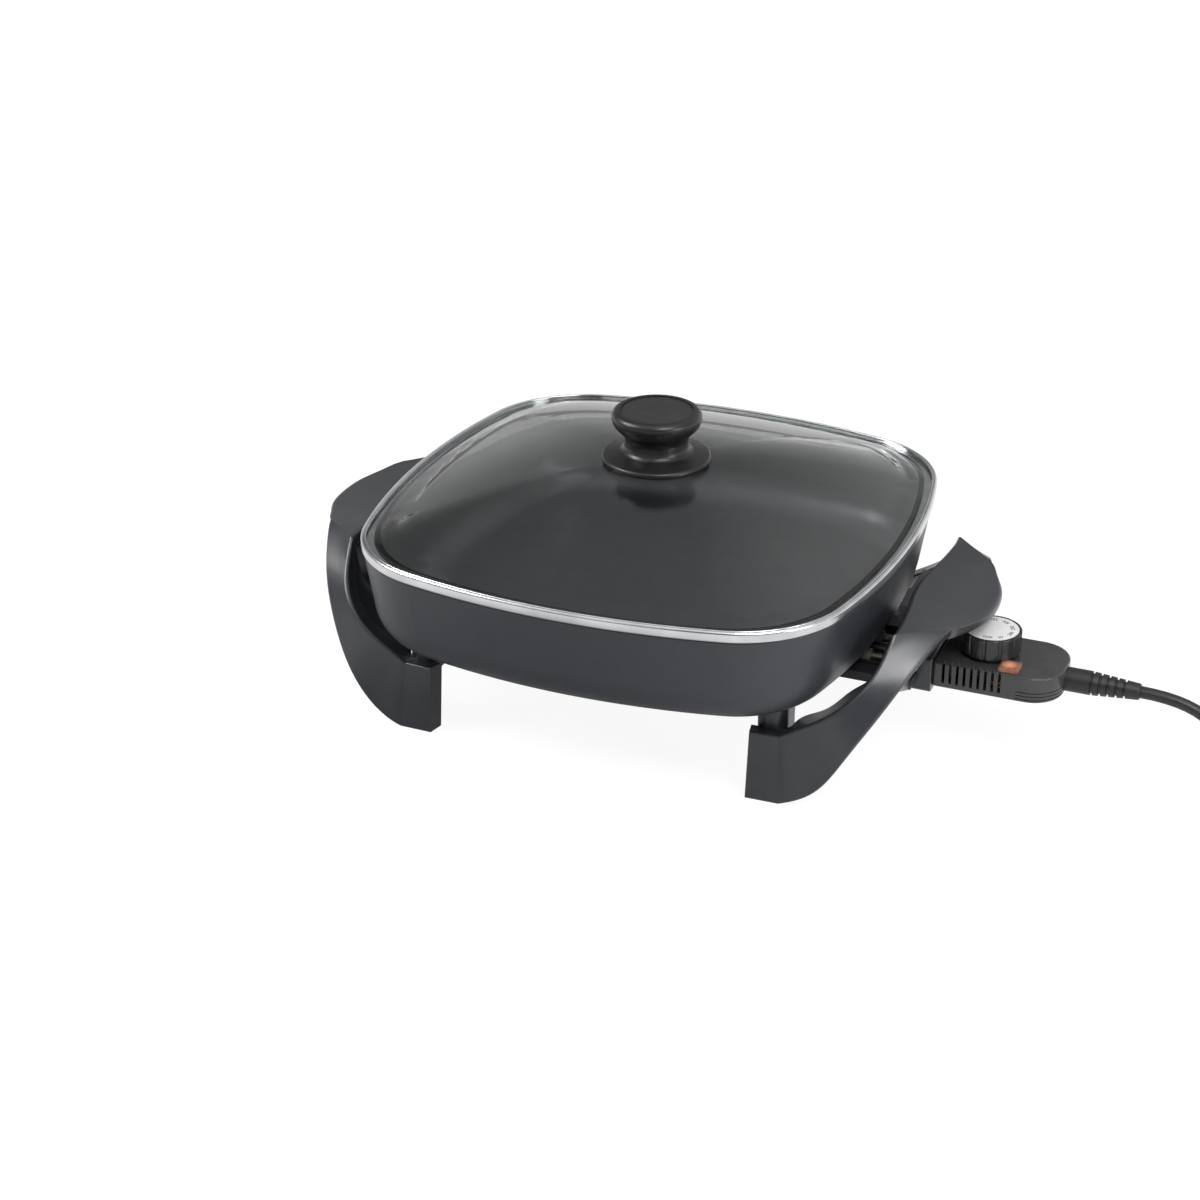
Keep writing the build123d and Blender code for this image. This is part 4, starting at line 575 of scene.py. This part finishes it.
FLOOR_HALF_SIZE = 6.0
FLOOR_PAINT = 0.86              # what the lamps light and the object shades
FLOOR_CAMERA_SHARE = 0.8        # how much of the floor's white is its own, under the lamps' light
FLOOR_WHITE = 1.15
FLOOR_PAINTED_SHADE_TONE = 0.25          # painted shade: the floor's tone in the object's own reflections, close by and further off
FLOOR_FAR_TONE = 0.95
FLOOR_SHADE_START = 0.2         # where the tone begins to rise, from the middle of the dark part
FLOOR_SHADE_END = 0.42
FLOOR_SHADE_STRETCH = 1.6       # the dark part is that much shorter along X than along Y
FLOOR_SHADE_MIDDLE = -0.1       # its middle, along X


def white_ground():
    """Floor that is white to the eye with a faint shadow, and a painted shade close by that only its
    reflections show.
    """
    material = bpy.data.materials.new("white_ground")
    material.use_nodes = True
    tree = material.node_tree
    tree.nodes.clear()

    def math_node(operation, first, second):
        node = tree.nodes.new("ShaderNodeMath")
        node.operation = operation
        for socket, value in zip(node.inputs, (first, second)):
            if isinstance(value, bpy.types.NodeSocket):
                tree.links.new(value, socket)
            else:
                socket.default_value = value
        return node.outputs[0]

    rays = tree.nodes.new("ShaderNodeLightPath")
    seen = math_node("MAXIMUM", rays.outputs["Is Camera Ray"], rays.outputs["Is Transmission Ray"])
    mirrored = rays.outputs["Is Glossy Ray"]
    place = tree.nodes.new("ShaderNodeTexCoord")
    round_pan = tree.nodes.new("ShaderNodeMapping")
    round_pan.inputs["Location"].default_value = (-FLOOR_SHADE_STRETCH * FLOOR_SHADE_MIDDLE, 0, 0)
    round_pan.inputs["Scale"].default_value = (FLOOR_SHADE_STRETCH, 1, 1)
    tree.links.new(place.outputs["Object"], round_pan.inputs["Vector"])
    distance = tree.nodes.new("ShaderNodeVectorMath")
    distance.operation = "LENGTH"
    tree.links.new(round_pan.outputs["Vector"], distance.inputs[0])
    # Painted shade: to glossy rays the floor is darker close to the object, standing in for the shadow
    # there
    tone = tree.nodes.new("ShaderNodeMapRange")
    for name, value in (("From Min", FLOOR_SHADE_START), ("From Max", FLOOR_SHADE_END),
                        ("To Min", FLOOR_PAINTED_SHADE_TONE), ("To Max", FLOOR_FAR_TONE)):
        tone.inputs[name].default_value = value
    tree.links.new(distance.outputs["Value"], tone.inputs["Value"])
    plain = math_node("SUBTRACT", 1.0, mirrored)
    strength = math_node(
        "ADD",
        math_node("MULTIPLY", plain, FLOOR_WHITE),
        math_node("MULTIPLY", mirrored, tone.outputs["Result"]),
    )
    paint = tree.nodes.new("ShaderNodeBsdfDiffuse")
    paint.inputs["Color"].default_value = (FLOOR_PAINT, FLOOR_PAINT, FLOOR_PAINT, 1)
    glow = tree.nodes.new("ShaderNodeEmission")
    tree.links.new(strength, glow.inputs["Strength"])
    blend = tree.nodes.new("ShaderNodeMixShader")
    own_white = math_node("MULTIPLY", seen, FLOOR_CAMERA_SHARE)
    tree.links.new(math_node("MAXIMUM", own_white, mirrored), blend.inputs[0])
    tree.links.new(paint.outputs[0], blend.inputs[1])
    tree.links.new(glow.outputs[0], blend.inputs[2])
    output = tree.nodes.new("ShaderNodeOutputMaterial")
    tree.links.new(blend.outputs[0], output.inputs["Surface"])
    return material


def make_floor():
    """Wide white floor under the feet."""
    size = FLOOR_HALF_SIZE
    mesh = bpy.data.meshes.new("floor")
    corners = [(-size, -size, 0), (size, -size, 0), (size, size, 0), (-size, size, 0)]
    mesh.from_pydata(corners, [], [(0, 1, 2, 3)])
    mesh.materials.append(white_ground())
    floor = bpy.data.objects.new("floor", mesh)
    bpy.context.scene.collection.objects.link(floor)


# (height, tone) pairs: 0 is straight down, 0.5 the horizon, 1 straight up
WORLD_TONES = [(0.0, 0.55), (0.5, 0.55), (0.62, 0.34), (0.72, 0.19), (0.85, 0.27), (1.0, 0.35)]
WORLD_RIGHT_TONE = 0.36         # added on the control's side
WORLD_RIGHT_SPAN = (-0.35, 0.25)
WORLD_FRONT_SHARE = 0.2         # of all that, on the side the object is looked at from
WORLD_FRONT_SPAN = (-0.5, 0.2)


def smooth_rise(tree, value, span, low, high):
    """A number that eases from low to high while value crosses the span."""
    rise = tree.nodes.new("ShaderNodeMapRange")
    rise.interpolation_type = "SMOOTHSTEP"
    for name, number in (("From Min", span[0]), ("From Max", span[1]), ("To Min", low), ("To Max", high)):
        rise.inputs[name].default_value = number
    tree.links.new(value, rise.inputs["Value"])
    return rise.outputs["Result"]


def make_world():
    """Studio round the object: darkest part-way up, lighter towards the control, white to the camera."""
    world = bpy.data.worlds.new("studio")
    bpy.context.scene.world = world
    world.use_nodes = True
    tree = world.node_tree
    background = tree.nodes["Background"]
    place = tree.nodes.new("ShaderNodeTexCoord")
    parts = tree.nodes.new("ShaderNodeSeparateXYZ")
    tree.links.new(place.outputs["Generated"], parts.inputs[0])
    height = tree.nodes.new("ShaderNodeMapRange")
    height.inputs["From Min"].default_value = -1.0
    tree.links.new(parts.outputs["Z"], height.inputs["Value"])
    ramp = tree.nodes.new("ShaderNodeValToRGB")
    stops = ramp.color_ramp.elements
    stops[0].position, stops[1].position = WORLD_TONES[0][0], WORLD_TONES[-1][0]
    for where, _ in WORLD_TONES[1:-1]:
        stops.new(where)
    for stop, (_, tone) in zip(stops, WORLD_TONES):
        stop.color = (tone, tone, tone, 1)
    tree.links.new(height.outputs["Result"], ramp.inputs["Fac"])
    sideways = smooth_rise(tree, parts.outputs["X"], WORLD_RIGHT_SPAN, 0.0, WORLD_RIGHT_TONE)
    sum_up = tree.nodes.new("ShaderNodeVectorMath")
    sum_up.operation = "ADD"
    tree.links.new(ramp.outputs["Color"], sum_up.inputs[0])
    tree.links.new(sideways, sum_up.inputs[1])
    tree.links.new(sum_up.outputs["Vector"], background.inputs["Color"])
    lengthways = smooth_rise(tree, parts.outputs["Y"], WORLD_FRONT_SPAN, WORLD_FRONT_SHARE, 1.0)
    tree.links.new(lengthways, background.inputs["Strength"])
    white = tree.nodes.new("ShaderNodeBackground")
    white.inputs["Color"].default_value = (1, 1, 1, 1)
    seen = tree.nodes.new("ShaderNodeLightPath")
    blend = tree.nodes.new("ShaderNodeMixShader")
    tree.links.new(seen.outputs["Is Camera Ray"], blend.inputs[0])
    tree.links.new(background.outputs[0], blend.inputs[1])
    tree.links.new(white.outputs[0], blend.inputs[2])
    tree.links.new(blend.outputs[0], tree.nodes["World Output"].inputs["Surface"])


LAMPS = [                       # name, place, target, size, power
    ("top_softbox", (0.1, -0.6, 1.9), (0, 0, 0.05), (2.8, 2.0), 13),
    ("right_softbox", (0.78, -0.78, 1.36), (0.1, -0.05, 0.08), (0.7, 0.7), 13),
    ("left_softbox", (-1.25, -0.5, 1.15), (-0.2, -0.05, 0.08), (0.8, 0.8), 20),
    ("right_low", (1.5, -0.45, 0.5), (0, 0, 0.1), (0.5, 0.5), 7),
    ("front_fill", (-0.7, -1.7, 0.9), (0, 0, 0.05), (1.4, 0.7), 2),
]


def area_lamp(name, place, target, size, power):
    """Square-cornered softbox that looks at its target; the power is in watts."""
    data = bpy.data.lights.new(name, "AREA")
    data.shape = "RECTANGLE"
    data.size, data.size_y = size
    data.energy = power
    lamp = bpy.data.objects.new(name, data)
    bpy.context.scene.collection.objects.link(lamp)
    lamp.location = place
    aim = Vector(target) - Vector(place)
    lamp.rotation_euler = aim.to_track_quat("-Z", "Y").to_euler()


make_floor()
make_world()
for lamp in LAMPS:
    area_lamp(*lamp)

bpy.context.scene.view_settings.view_transform = "Standard"
